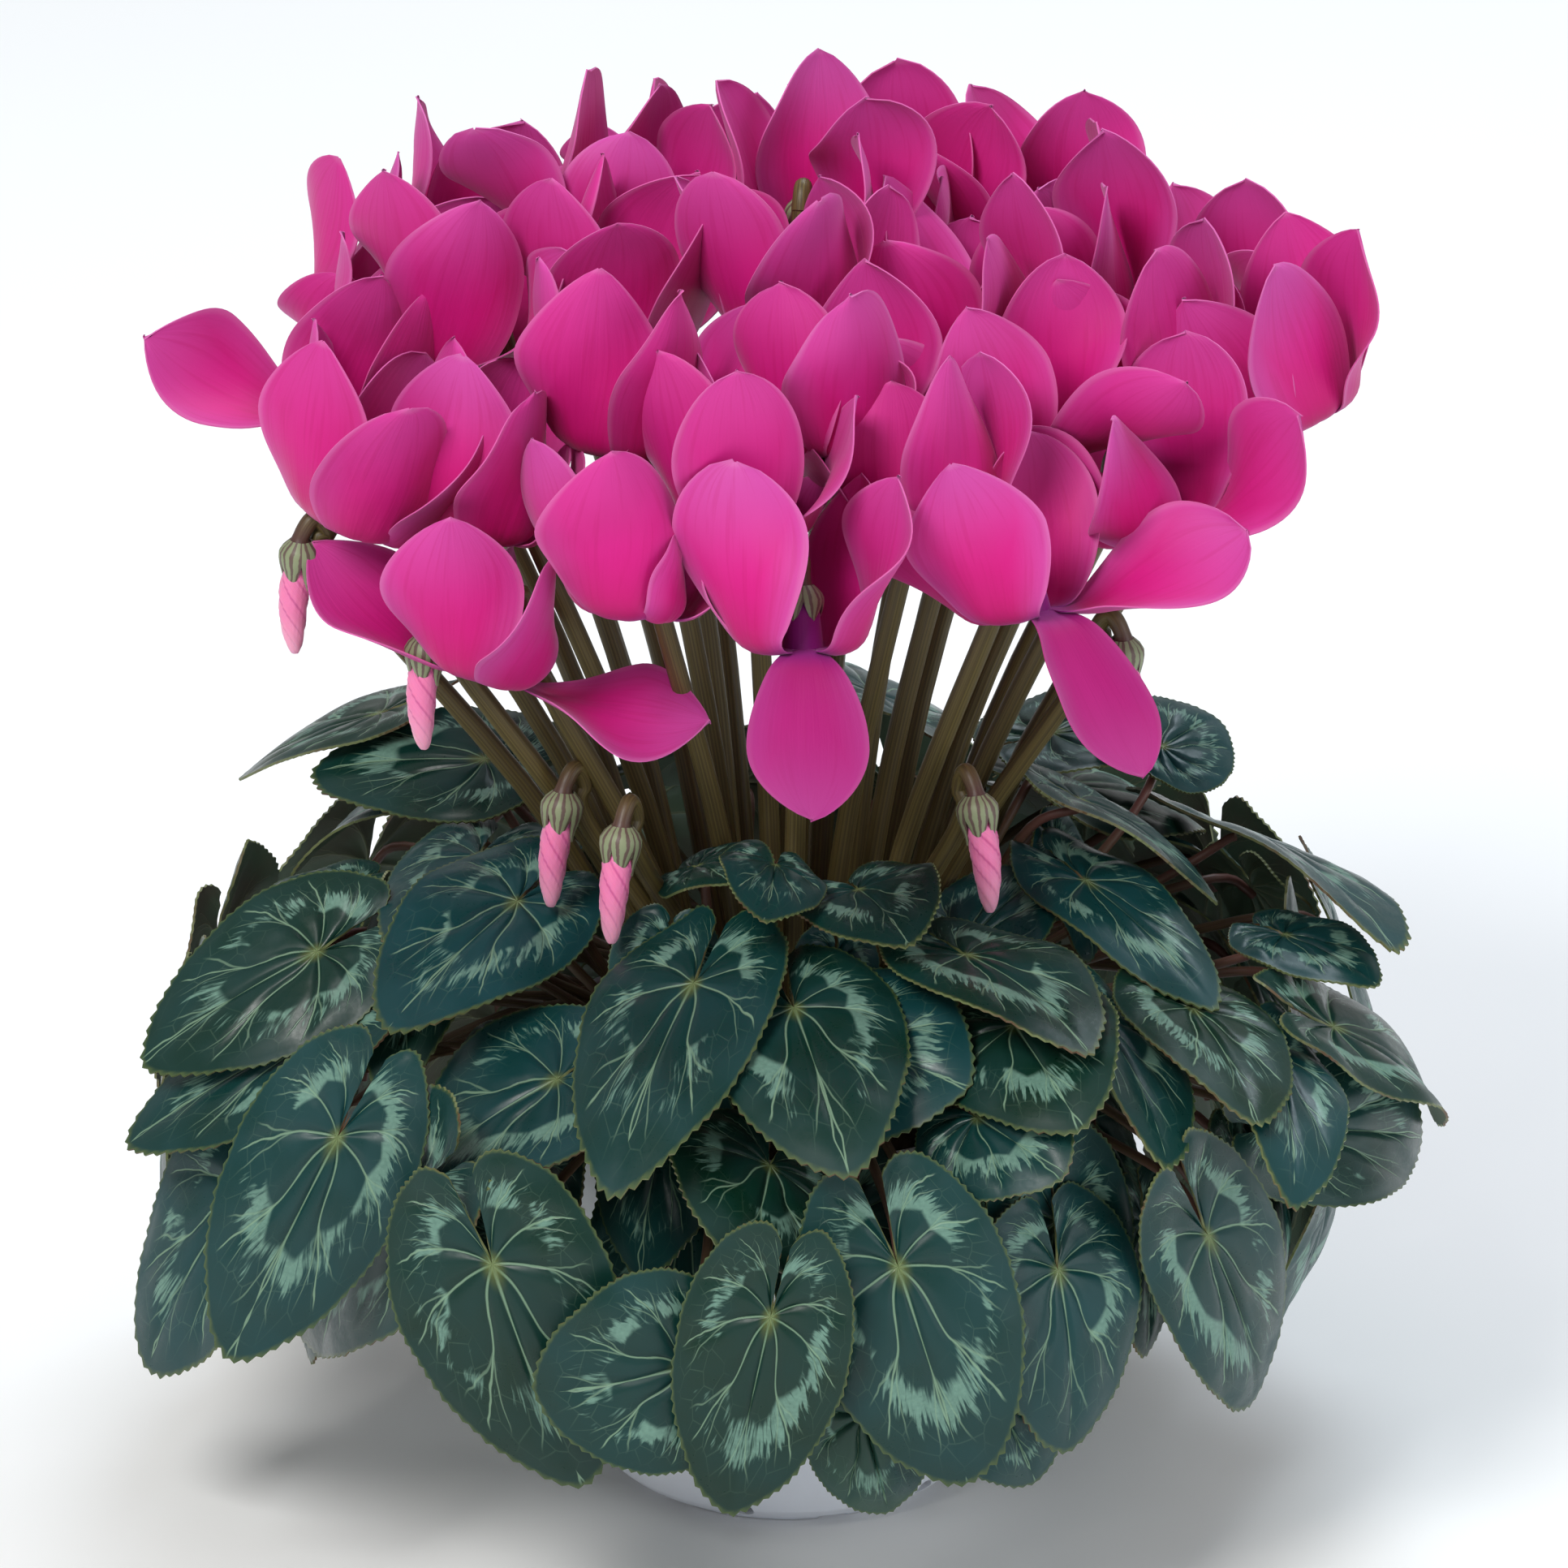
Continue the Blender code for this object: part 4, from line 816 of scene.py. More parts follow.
@dataclass(frozen=True)
class LeafUpperFinish:
    """Waxy upper face of a leaf: dark green to blue-green, a silver band, pale veins, a yellow-green edge."""

    deep: Colour = (0.003, 0.024, 0.013)
    blue: Colour = (0.006, 0.050, 0.056)
    olive: Colour = (0.045, 0.085, 0.012)
    silver: Colour = (0.155, 0.290, 0.230)
    vein: Colour = (0.210, 0.340, 0.225)
    heart: Colour = (0.150, 0.170, 0.025)
    edge: Colour = (0.075, 0.110, 0.035)
    roughness: float = 0.36

    def make(self, marking: NodeTree) -> Material:
        """Builds the material round the marking group."""
        material, w, shader = new_material("leaf_upper")
        tone, age, seed = w.tint("leaf_tint")
        marks = w.group(marking, Map=w.chart("leaf_map"), Seed=seed)
        vein, silver, share = (marks[name] for name in ("Vein", "Silver", "Share"))
        spot = w.spot()
        cloud = w.noise(spot, 55.0, 2.0)
        grain = w.noise(spot, 900.0, 1.0)
        green = w.mixed(w.line(cloud, 0.9, w.line(tone, 0.8, -0.4)), self.deep, self.blue)
        for factor, colour in (
            (w.times(age, w.step(cloud, 0.35, 0.6)), self.olive),
            (w.times(silver, w.line(grain, 0.5, 0.55)), self.silver),
            (w.times(vein, 0.72), self.vein),
            (w.times(w.step(share, 0.14, 0.01), 0.6), self.heart),
            (w.times(w.step(share, 0.965, 1.0), 0.8), self.edge),
        ):
            green = w.mixed(factor, green, colour)
        gloss = w.line(w.step(cloud, 0.4, 0.65), 0.16, w.line(grain, 0.16, self.roughness - 0.14))
        dress(w, shader, green, gloss, w.bump(marks["Relief"], 0.55, 0.45))
        set_sockets(shader, Specular_IOR_Level=0.3)
        return material


@dataclass(frozen=True)
class LeafUnderFinish:
    """Pale grey-green under face of a leaf, with the veins standing out."""

    pale: Colour = (0.120, 0.190, 0.120)
    flush: Colour = (0.150, 0.085, 0.075)
    vein: Colour = (0.230, 0.270, 0.160)

    def make(self, marking: NodeTree) -> Material:
        """Builds the material round the marking group."""
        material, w, shader = new_material("leaf_under")
        marks = w.group(marking, Map=w.chart("leaf_map"))
        cloud = w.noise(w.spot(), 40.0, 3.0)
        colour = w.mixed(w.times(w.step(cloud, 0.4, 0.7), 0.5), self.pale, self.flush)
        colour = w.mixed(w.times(marks["Vein"], 0.7), colour, self.vein)
        raised = w.less(marks["Vein"], w.times(marks["Relief"], 0.6))
        dress(w, shader, colour, w.line(cloud, 0.2, 0.5), w.bump(raised, 0.6, 0.4))
        return material


@dataclass(frozen=True)
class LeafEdgeFinish:
    """Cut edge of a leaf: pale yellow-green, bronzed here and there."""

    pale: Colour = (0.140, 0.170, 0.065)
    bronze: Colour = (0.110, 0.060, 0.030)

    def make(self) -> Material:
        """Builds the material."""
        material, w, shader = new_material("leaf_edge")
        patch = w.noise(w.spot(), 90.0, 2.0)
        dress(w, shader, w.mixed(w.step(patch, 0.45, 0.7), self.pale, self.bronze), w.line(patch, 0.2, 0.4))
        return material


@dataclass(frozen=True)
class StemSkin:
    """The node group of a stem's skin: fine lines along it and a flush that grows towards its top."""

    def make(self) -> NodeTree:
        """Builds the group, with lines, flush and grain as its outputs."""
        tree, w, given, out = new_group(
            "stem_skin", ("Map", "Place"), ("Flush From",), ("Lines", "Flush", "Grain")
        )
        place, start = given["Place"], given["Flush From"]
        rise = w.step(w.split(given["Map"])[1], start, w.plus(start, 0.3))
        w.feed(out["Lines"], w.noise(w.moved(given["Map"], (9.0, 1.4, 1.0), place), 4.0, 3.0))
        w.feed(out["Flush"], w.times(rise, w.line(w.noise(place, 38.0, 3.0), 0.8, 0.5)))
        w.feed(out["Grain"], w.noise(place, 1200.0, 2.0))
        return tree


@dataclass(frozen=True)
class StemFinish:
    """Fleshy skin of a stem."""

    name: str
    light: Colour
    dark: Colour
    flush: Colour
    flush_from: float
    roughness: float = 0.42

    def make(self, skin: NodeTree) -> Material:
        """Builds the material round the skin group."""
        material, w, shader = new_material(self.name)
        marks = w.group(skin, Map=w.chart("stem_map"), Place=w.spot(), Flush_From=self.flush_from)
        colour = w.mixed(w.step(marks["Lines"], 0.35, 0.65), self.dark, self.light)
        colour = w.mixed(w.maths("MINIMUM", marks["Flush"], 1.0), colour, self.flush)
        gloss = w.line(marks["Grain"], 0.16, self.roughness - 0.08)
        dress(w, shader, colour, gloss, w.bump(marks["Lines"], 0.3, 0.2))
        set_sockets(shader, Specular_IOR_Level=0.4)
        return material


@dataclass(frozen=True)
class PetalVeining:
    """The node group of the fine veins of a petal, which fan out from its base along the petal's own map."""

    def make(self) -> NodeTree:
        """Builds the group: fine lines, the way along, the way to the side edge, and soft clouds."""
        tree, w, given, out = new_group(
            "petal_veining", ("Map", "Place"), ("Seed",), ("Lines", "Along", "Side", "Cloud")
        )
        across, along, _ = w.split(given["Map"])
        fan = w.node("ShaderNodeCombineXYZ")
        for socket, value, scale in zip(fan.inputs, (across, along, given["Seed"]), (26.0, 2.2, 40.0)):
            w.feed(socket, w.times(value, scale))
        w.feed(out["Lines"], w.noise(fan.outputs[0], 1.0, 2.0))
        w.feed(out["Along"], along)
        w.feed(out["Side"], w.maths("ABSOLUTE", w.line(across, 2.0, -1.0)))
        w.feed(out["Cloud"], w.noise(given["Place"], 42.0, 2.0))
        return tree


@dataclass(frozen=True)
class PetalFinish:
    """Velvety petal: magenta-pink, paler mauve to the tip and sides, purple at the nose, with faint veins. The
    mauve is partly the petal's own fade and partly painted highlight, and the purple over the hanging petals is
    painted shade.
    """

    pink: Colour = (0.600, 0.008, 0.210)
    deep: Colour = (0.420, 0.002, 0.100)
    # Paler mauve of the tip and sides: partly the petal's own colour, partly painted highlight.
    mauve: Colour = (0.550, 0.070, 0.350)
    # Painted shade: the hanging petals are darkened towards this purple, as if in shadow.
    purple: Colour = (0.260, 0.006, 0.125)
    rim: Colour = (0.700, 0.260, 0.520)
    nose: Colour = (0.240, 0.012, 0.190)

    def make(self, veining: NodeTree) -> Material:
        """Builds the material round the veining group."""
        material, w, shader = new_material("petal_velvet")
        # The tint's third channel is the share of painted shade on a hanging petal.
        seed, paleness, hanging = w.tint("petal_tint")
        marks = w.group(veining, Map=w.chart("petal_map"), Place=w.spot(), Seed=seed)
        lines, along, side, cloud = (marks[name] for name in ("Lines", "Along", "Side", "Cloud"))
        body = w.times(w.step(along, 0.02, 0.55), w.line(cloud, 0.9, 0.5))
        # Mask of the mauve tip and sides, partly the petal's own fade and partly painted highlight.
        pale = w.maths("MAXIMUM", w.step(along, 0.42, 1.02), w.times(w.step(side, 0.3, 1.1), 0.85))
        pale = w.times(pale, w.line(paleness, 0.6, 0.35))
        rim = w.maths("MAXIMUM", w.step(side, 0.88, 1.0), w.step(along, 0.965, 1.0))
        colour = self.deep
        for factor, over in (
            (w.maths("MINIMUM", body, 1.0), self.pink),
            (w.maths("MINIMUM", pale, 1.0), self.mauve),
            (w.times(rim, 0.3), self.rim),
            (w.times(w.step(lines, 0.5, 0.68), 0.18), self.deep),
            # Painted shade: hanging petals darkened towards purple.
            (hanging, self.purple),
            (w.step(along, 0.2, 0.03), self.nose),
        ):
            colour = w.mixed(factor, colour, over)
        dress(w, shader, colour, w.line(cloud, 0.14, 0.48), w.bump(lines, 0.35, 0.3))
        set_sockets(
            shader, Sheen_Weight=0.25, Sheen_Roughness=0.4, Sheen_Tint=(0.95, 0.60, 0.92, 1.0),
            Specular_IOR_Level=0.2,
        )
        return material


@dataclass(frozen=True)
class BudFinish:
    """Furled petals of a bud: pale pink, with deeper seams and a whiter tip."""

    pink: Colour = (0.800, 0.200, 0.420)
    seam: Colour = (0.560, 0.060, 0.250)
    tip: Colour = (0.860, 0.420, 0.560)
    seed: float = 0.3

    def make(self, veining: NodeTree) -> Material:
        """Builds the material round the veining group."""
        material, w, shader = new_material("bud_petals")
        lap = w.node("ShaderNodeVectorMath", operation="FRACTION")
        w.feed(lap.inputs[0], w.chart("petal_map"))
        marks = w.group(veining, Map=lap.outputs[0], Place=w.spot(), Seed=self.seed)
        colour = w.mixed(w.times(w.step(marks["Side"], 0.7, 1.0), 0.8), self.pink, self.seam)
        colour = w.mixed(w.times(w.step(marks["Along"], 0.45, 1.0), 0.7), colour, self.tip)
        colour = w.mixed(w.times(w.step(marks["Lines"], 0.5, 0.7), 0.2), colour, self.seam)
        dress(w, shader, colour, w.line(marks["Cloud"], 0.15, 0.4), w.bump(marks["Lines"], 0.3, 0.2))
        set_sockets(shader, Subsurface_Weight=0.3, Subsurface_Scale=0.002, Sheen_Weight=0.2)
        return material


@dataclass(frozen=True)
class SepalFinish:
    """Sepals: silvery green with brown-purple stripes along them."""

    green: Colour = (0.230, 0.270, 0.150)
    stripe: Colour = (0.095, 0.040, 0.045)

    def make(self) -> Material:
        """Builds the material on the sheet's own map."""
        material, w, shader = new_material("sepal_striped")
        patch = w.noise(w.spot(), 300.0, 3.0)
        wander = w.line(patch, 0.22, w.split(w.chart("petal_map"))[0])
        stripe = w.step(w.maths("PINGPONG", w.times(wander, 3.0), 0.5), 0.22, 0.36)
        colour = w.mixed(w.times(stripe, 0.85), self.green, self.stripe)
        dress(w, shader, colour, w.line(patch, 0.2, 0.4), w.bump(patch, 0.3, 0.2))
        return material


@dataclass(frozen=True)
class PotFinish:
    """Satin moulded white plastic with a faint blue cast, a fine grain and a little dust low down."""

    white: Colour = (0.760, 0.800, 0.880)
    dust: Colour = (0.560, 0.540, 0.500)
    dust_top: float = 0.02

    def make(self) -> Material:
        """Builds the material."""
        material, w, shader = new_material("pot_plastic")
        spot = w.spot()
        cloud = w.noise(spot, 26.0, 4.0)
        low = w.times(w.step(w.split(spot)[2], self.dust_top, 0.0), w.step(cloud, 0.45, 0.75))
        colour = w.mixed(w.times(low, 0.35), self.white, self.dust)
        dress(w, shader, colour, w.line(cloud, 0.2, 0.28), w.bump(w.noise(spot, 1500.0, 2.0), 0.12, 0.1))
        set_sockets(shader, Specular_IOR_Level=0.5)
        return material


@dataclass(frozen=True)
class GroundFinish:
    """Crumbly or corky ground stuff: two tones in grains of one size, with deep bump."""

    name: str
    dark: Colour
    light: Colour
    scale: float
    depth: float

    def make(self) -> Material:
        """Builds the material."""
        material, w, shader = new_material(self.name)
        spot = w.spot()
        crumbs = w.node("ShaderNodeTexVoronoi")
        w.feed(crumbs.inputs["Vector"], spot)
        w.feed(crumbs.inputs["Scale"], self.scale)
        crumb = crumbs.outputs["Distance"]
        grain = w.noise(spot, self.scale * 2.2, 5.0)
        tone = w.times(crumb, w.line(grain, 1.2, 0.3))
        colour = w.mixed(w.step(tone, 0.15, 0.75), self.dark, self.light)
        dress(w, shader, colour, w.line(grain, 0.15, 0.82), w.bump(w.less(grain, crumb), 0.8, self.depth))
        return material


STALK_SKIN = StemFinish(
    "stalk_skin", light=(0.130, 0.100, 0.032), dark=(0.070, 0.050, 0.020), flush=(0.075, 0.030, 0.030),
    flush_from=0.62,
)
PETIOLE_SKIN = StemFinish(
    "petiole_skin", light=(0.150, 0.110, 0.050), dark=(0.110, 0.060, 0.040), flush=(0.140, 0.055, 0.045),
    flush_from=0.5,
)
PEAT = GroundFinish(
    "peat", dark=(0.010, 0.007, 0.005), light=(0.060, 0.040, 0.026), scale=420.0, depth=1.2
)
CORM_SKIN = GroundFinish(
    "corm_skin", dark=(0.045, 0.028, 0.018), light=(0.120, 0.075, 0.045), scale=150.0, depth=0.8
)


@dataclass(frozen=True)
class FoliageDome:
    """The rounded outside of the foliage, and the view from a little above that the front is read from."""

    tilt: float = VIEW_TILT
    heights: tuple[float, ...] = (25.0, 42.0, 60.0, 85.0, 108.0, 130.0, 150.0, 166.0, 178.0, 188.0, 196.0)
    radii: tuple[float, ...] = (124.0, 134.0, 146.0, 160.0, 166.0, 157.0, 137.0, 113.0, 90.0, 68.0, 46.0)

    def radius(self, height: np.ndarray | float) -> np.ndarray | float:
        """Radius of the dome at a height."""
        return np.interp(height, self.heights, self.radii)

    def sight(self, across: float, up: float, depth: float) -> np.ndarray:
        """The point at this depth that is seen at this place of the view."""
        return np.array([across, depth, (up - depth * math.sin(self.tilt)) / math.cos(self.tilt)])

    def on_dome(self, across: float, up: float, inset: float) -> np.ndarray:
        """The point nearest the front where the line of sight meets the dome, sunk by an inset."""
        depths = np.arange(-190.0, 60.0, 1.0)
        heights = (up - depths * math.sin(self.tilt)) / math.cos(self.tilt)
        outside = np.hypot(across, depths) - (self.radius(heights) - inset)
        inside = np.nonzero(outside <= 0.0)[0]
        first = inside[0] if len(inside) else int(np.argmin(outside))
        return self.sight(across, up, depths[first])

    def normal(self, point: np.ndarray) -> np.ndarray:
        """The outward direction of the dome near a point."""
        slope = (self.radius(point[2] + 6.0) - self.radius(point[2] - 6.0)) / 12.0
        r = max(math.hypot(point[0], point[1]), 1e-6)
        return unit(np.array([point[0] / r, point[1] / r, max(-slope, -0.15)]))


class Flower(NamedTuple):
    """Mouth of a flower, its axis out of the mouth, its outer side and the direction across."""

    mouth: np.ndarray
    axis: np.ndarray
    outer: np.ndarray
    cross: np.ndarray


@dataclass(frozen=True)
class PetalOutline:
    """How a petal widens from its claw and closes at its tip."""

    claw: float
    power: float
    blunt: float
    close: float


# Outline of the petals' solids, which their places are tried with.
SOLID_OUTLINE = PetalOutline(0.2, 1.8, 2.1, 0.72)


class PetalShape(NamedTuple):
    """One petal: its seat round the mouth, its lean and its tip's, its twist, length, half width and cup."""

    seat: float
    lean: float
    tip_lean: float
    twist: float
    length: float
    width: float
    cup: float


# Middle of the blooms, across and back, which their outer sides turn away from.
BLOOM_CENTRE = (0.0, 20.0)


def flower_at(x: float, y: float, z: float, dip: float) -> Flower:
    """A flower with its mouth at a place.

    Args:
        x: Place across.
        y: Place to the back.
        z: Height.
        dip: Angle of the axis below level.

    Returns:
        The flower's frame, with its outer side turned away from the middle of the plant.
    """
    heading = math.atan2(y - BLOOM_CENTRE[1], x - BLOOM_CENTRE[0])
    flat = polar(1.0, heading)
    axis = math.cos(dip) * flat + math.sin(dip) * DOWN
    outer = math.sin(dip) * flat - math.cos(dip) * DOWN
    return Flower(np.array([x, y, z], float), axis, outer, np.cross(axis, outer))


def bloom_dip(row: Sequence[float]) -> float:
    """Angle of a bloom's axis below level: the middle ones hang straightest."""
    reach = math.hypot(row[0] - BLOOM_CENTRE[0], row[1] - BLOOM_CENTRE[1])
    return math.radians(86.0 - 16.0 * min(reach / 125.0, 1.0))


@dataclass
class NurseryPot:
    """The white nursery pot: a thin shell with a rim band, a stepped foot, drain holes and scallops."""

    height: float = 115.0
    rim_radius: float = 70.0
    rim_band: float = 9.0
    base_radius: float = 50.5
    foot_radius: float = 40.5
    foot_step: float = 2.8
    wall: float = 1.6
    drain_holes: int = 6
    drain_radius: float = 2.6
    scallops: int = 6
    scallop_radius: float = 5.0
    steps: int = 120
    edge_radius: float = 0.45

    def outside(self) -> list[tuple[float, float]]:
        """The outer profile, top to bottom."""
        band = self.height - self.rim_band
        return [
            (self.rim_radius - 1.4, self.height),
            (self.rim_radius, self.height - 1.2),
            (self.rim_radius, band),
            (self.rim_radius - 2.4, band - 1.4),
            (self.base_radius, 10.0),
            (self.base_radius - 1.6, 6.0),
            (self.base_radius - 4.6, self.foot_step + 0.4),
            (self.foot_radius + 1.0, self.foot_step),
            (self.foot_radius, 0.0),
        ]

    def inside(self, inset: float) -> list[tuple[float, float]]:
        """The inner profile from the axis to the rim, moved inwards by an inset."""
        return [
            (0.0, self.wall + inset),
            (self.foot_radius - 4.6 - inset, self.wall + inset),
            (self.foot_radius - 3.6 - inset, self.foot_step + self.wall + inset),
            (self.base_radius - 5.2 - inset, self.foot_step + self.wall + 0.6 + inset),
            (self.base_radius - self.wall - inset, 10.6 + inset),
            (self.rim_radius - 4.0 - inset, self.height - self.rim_band - 1.4),
        ]

    def cutter(self, low: np.ndarray, high: np.ndarray, radius: float, sides: int) -> Object:
        """A cylinder between two points that a hole is cut with."""
        axis = Vector(high - low)
        deselect_all()
        bpy.ops.mesh.primitive_cylinder_add(
            vertices=sides, radius=radius * MM, depth=axis.length * MM,
            location=Vector(low + high) * 0.5 * MM, rotation=axis.to_track_quat("Z", "Y").to_euler(),
        )
        return bpy.context.active_object

    def cutters(self) -> list[Object]:
        """Cutters of the drain holes and of the scallops under the foot."""
        made = []
        for k in range(self.drain_holes):
            angle = math.radians(360.0 * (k + 0.28) / self.drain_holes)
            inner = polar(self.base_radius - 12.0, angle, 10.5)
            outer = polar(self.base_radius + 5.0, angle, 2.6)
            made.append(self.cutter(inner, outer, self.drain_radius, 24))
        for k in range(self.scallops):
            angle = math.radians(360.0 * (k + 0.78) / self.scallops)
            reach = self.foot_radius + self.scallop_radius - 2.4
            low, high = polar(reach, angle, -2.0), polar(reach, angle, self.foot_step - 0.4)
            made.append(self.cutter(low, high, self.scallop_radius, 32))
        return made

    def keep_clear(self, clearance: Clearance) -> None:
        """Adds three rings of the pot's wall to what later pieces stay clear of."""
        turns = np.linspace(0.0, 2.0 * math.pi, 25)
        for height, radius in ((96.0, self.rim_radius - 2.0), (self.height, self.rim_radius), (60.0, 62.0)):
            ring = [polar(radius, turn, height) for turn in turns]
            clearance.add("pot", clearance.tree(*tube_shell(ring, self.wall)))

    def build(self, plastic: Material) -> None:
        """Builds and dresses the pot."""
        profile = [(0.0, 0.0), *reversed(self.outside()), (self.rim_radius - 2.4, self.height - 0.6)]
        profile += list(reversed(self.inside(0.0)))
        pot = spun("Nursery_pot", profile, self.steps)
        bevel = pot.modifiers.new("Edges", "BEVEL")
        bevel.width = self.edge_radius * MM
        bevel.segments = 2
        bevel.limit_method = "ANGLE"
        bevel.angle_limit = math.radians(12.0)
        apply_modifiers(pot)
        cutter = joined("pot_cutters", self.cutters())
        cut = pot.modifiers.new("Holes", "BOOLEAN")
        cut.operation = "DIFFERENCE"
        cut.object = cutter
        cut.solver = "EXACT"
        apply_modifiers(pot)
        bpy.data.objects.remove(cutter)
        pot.data.materials.append(plastic)
        shade_round(pot, 30.0)
        declare(pot, Slot.POT, "pot")


@dataclass
class Ground:
    """The compost that fills the pot, and the half-buried corm."""

    pot: NurseryPot
    compost_top: float = 101.0
    heap: float = 1.2
    corm_top: float = CORM_TOP
    corm_radius: float = 44.0
    corm_shoulder: float = 39.5
    steps: int = 160
    rings: int = 9

    def corm_profile(self, swell: float) -> list[tuple[float, float]]:
        """The corm's profile from the top of its axis to the bottom, swollen for the compost's dish."""
        s = swell
        return [
            (0.0, self.corm_top + s),
            (self.corm_shoulder + s * 0.4, self.corm_top + s),
            (self.corm_radius - 0.6 + s, self.corm_top - 4.0),
            (self.corm_radius + s, 93.0),
            (38.0 + s, 80.0 - s),
            (20.0 + s, 73.0 - s),
            (0.0, 72.0 - s),
        ]

    def build_compost(self, peat: Material) -> None:
        """Builds the compost, with crumbs on its top."""
        bowl = [(r, z) for r, z in self.corm_profile(GAP) if z < self.compost_top]
        inner = self.corm_radius - 0.3 + GAP
        wall = self.pot.inside(GAP)[:-1]
        rim_height = self.pot.height - self.pot.rim_band - 1.4
        slope = (self.compost_top - wall[-1][1]) / (rim_height - wall[-1][1])
        outer = wall[-1][0] + (self.pot.rim_radius - 4.0 - GAP - wall[-1][0]) * slope - 0.1
        crown = []
        for k in range(self.rings + 1):
            share = k / self.rings
            heap = self.heap * math.sin(math.pi * share)
            crown.append((inner + (outer - inner) * share, self.compost_top + heap))
        compost = spun("Compost", [*reversed(bowl), *crown, *reversed(wall)], self.steps)
        roughened(compost, 3, 0.7, 0.45, self.compost_top - 1.0)
        compost.data.materials.append(peat)
        shade_round(compost, 60.0)
        declare(compost, Slot.COMPOST, "compost")

    def build_corm(self, bark: Material) -> None:
        """Builds the corm, with a corky skin."""
        top = self.corm_profile(0.0)
        flat = [(self.corm_shoulder * k / 8.0, self.corm_top) for k in range(8)]
        corm = spun("Corm", [*flat, *top[1:]], self.steps // 2)
        corm.data.materials.append(bark)
        shade_round(corm, 60.0)
        declare(corm, Slot.CORM, "corm")


@dataclass
class FlowerStalks:
    """Hooked stalks that rise from one crown, each with a calyx of five sepals at its end."""

    radius: float = 2.8
    tip_radius: float = 2.0
    crown_radius: float = 31.0
    crown_top: float = 111.0
    crown_foot: float = 105.8
    hook_rise: float = 21.5
    calyx_drop: float = 12.6
    calyx_radius: float = 4.6
    root_spread: float = 0.23
    root_limit: float = 27.0
    root_spacing: float = 6.6
    splay: float = 1.4
    sides: int = 12
    span_steps: int = 6
    sepal_count: int = 5
    sepal_rows: int = 9
    sepal_columns: int = 7
    sepal_length: float = 8.6
    bud_sepal_length: float = 12.5
    taper: float = 1.5
    sepal_thickness: float = 0.5
    flowers: list[Flower] = field(default_factory=list)
    paths: list[np.ndarray] = field(default_factory=list)

    def place(self) -> None:
        """Works out each flower's frame and its stalk's path."""
        self.flowers = [flower_at(*row[:3], bloom_dip(row)) for row in BLOOMS]
        for x, y, z, lean in BUDS:
            mouth, axis, outer, cross = flower_at(x, y, z, math.radians(90.0 - lean))
            self.flowers.append(Flower(mouth + axis * self.calyx_drop, axis, outer, cross))
        roots = self.roots([flower.mouth for flower in self.flowers])
        self.paths = [np.array(self.path(root, flower)) for root, flower in zip(roots, self.flowers)]

    def roots(self, tops: list[np.ndarray]) -> np.ndarray:
        """Roots of the stalks on the crown, in the order of the flowers, pushed apart evenly."""
        centre = np.array(BLOOM_CENTRE)
        roots = (np.array(tops)[:, :2] - centre) * self.root_spread
        for _ in range(200):
            for i in range(len(roots)):
                for j in range(i):
                    between = roots[i] - roots[j]
                    far = np.linalg.norm(between)
                    if far < self.root_spacing:
                        push = unit(between) * (self.root_spacing - far) * 0.5
                        roots[i] += push
                        roots[j] -= push
            lengths = np.linalg.norm(roots, axis=1, keepdims=True)
            roots *= np.minimum(1.0, self.root_limit / np.maximum(lengths, 1e-6))
        return roots

    def path(self, root: np.ndarray, flower: Flower) -> list[np.ndarray]:
        """The stalk from the crown up beside the flower, over the hook and down into the calyx."""
        mouth, axis, outer, _ = flower
        foot = np.array([root[0], root[1], self.crown_top - 3.0])
        beside = mouth - outer * 9.8 - axis * 7.0
        run = []
        for share in (0.0, 0.5, 1.0):
            flat = share**self.splay
            run.append(foot + (beside - foot) * np.array([flat, flat, share]))
        return run + [
            mouth - outer * 7.4 - axis * 17.0,
            mouth - outer * 3.4 - axis * self.hook_rise,
            mouth - axis * (self.calyx_drop + 4.4),
            mouth - axis * self.calyx_drop,
        ]

    def keep_clear(self, clearance: Clearance) -> None:
        """Adds the stalks to what later pieces stay clear of."""
        for path in self.paths:
            fine = curve_through(list(path), 3)
            clearance.add("stalks", clearance.tree(*tube_shell(fine, self.radius * 1.1 + CLEARANCE)))
            clearance.add("stalks", clearance.tree(*tube_shell(path, self.radius + CLEARANCE)))

    def stalk(self, path: np.ndarray) -> Object:
        """One smooth stalk that swells into its receptacle."""
        fine = curve_through(list(path), self.span_steps)
        along = np.linspace(0.0, len(path) - 1.0, len(fine))
        coarse = np.linspace(self.radius, self.tip_radius, len(path))
        radii = np.interp(along, np.arange(len(path)), coarse)
        swell = smooth(along - (len(path) - 2.0))
        radii = radii * (1.0 - swell) + self.calyx_radius * swell
        return stem("stalk", fine, radii, self.sides, "stem_map")

    def sepals(self, flower: Flower, length: float, pattern: SheetPattern) -> list[Object]:
        """Five pointed sepals that clasp the flower's top."""
        rows = np.linspace(0.0, 1.0, self.sepal_rows)
        columns = np.linspace(-1.0, 1.0, self.sepal_columns)
        run = length * rows
        half = math.radians(40.0) * (1.0 - rows**2.2) ** 0.8 + 0.02
        swell = 2.6 * np.sin(0.5 * math.pi * np.minimum(run / 3.6, 1.0))
        bulge = 2.7 + swell - self.taper * smooth((run - 4.0) / 8.0)
        reach = bulge[:, None] - 0.5 * (columns * columns)[None, :] * rows[:, None]
        drop = self.calyx_drop + 3.2 - run
        made = []
        for k in range(self.sepal_count):
            middle = 2.0 * math.pi * (k + 0.5) / self.sepal_count
            angle = middle + half[:, None] * columns[None, :]
            out = np.cos(angle)[..., None] * flower.outer + np.sin(angle)[..., None] * flower.cross
            points = flower.mouth + out * reach[..., None] - flower.axis * drop[:, None, None]
            made.append(pattern.shaped("sepal", points, sheet_map(rows, columns)))
        return made

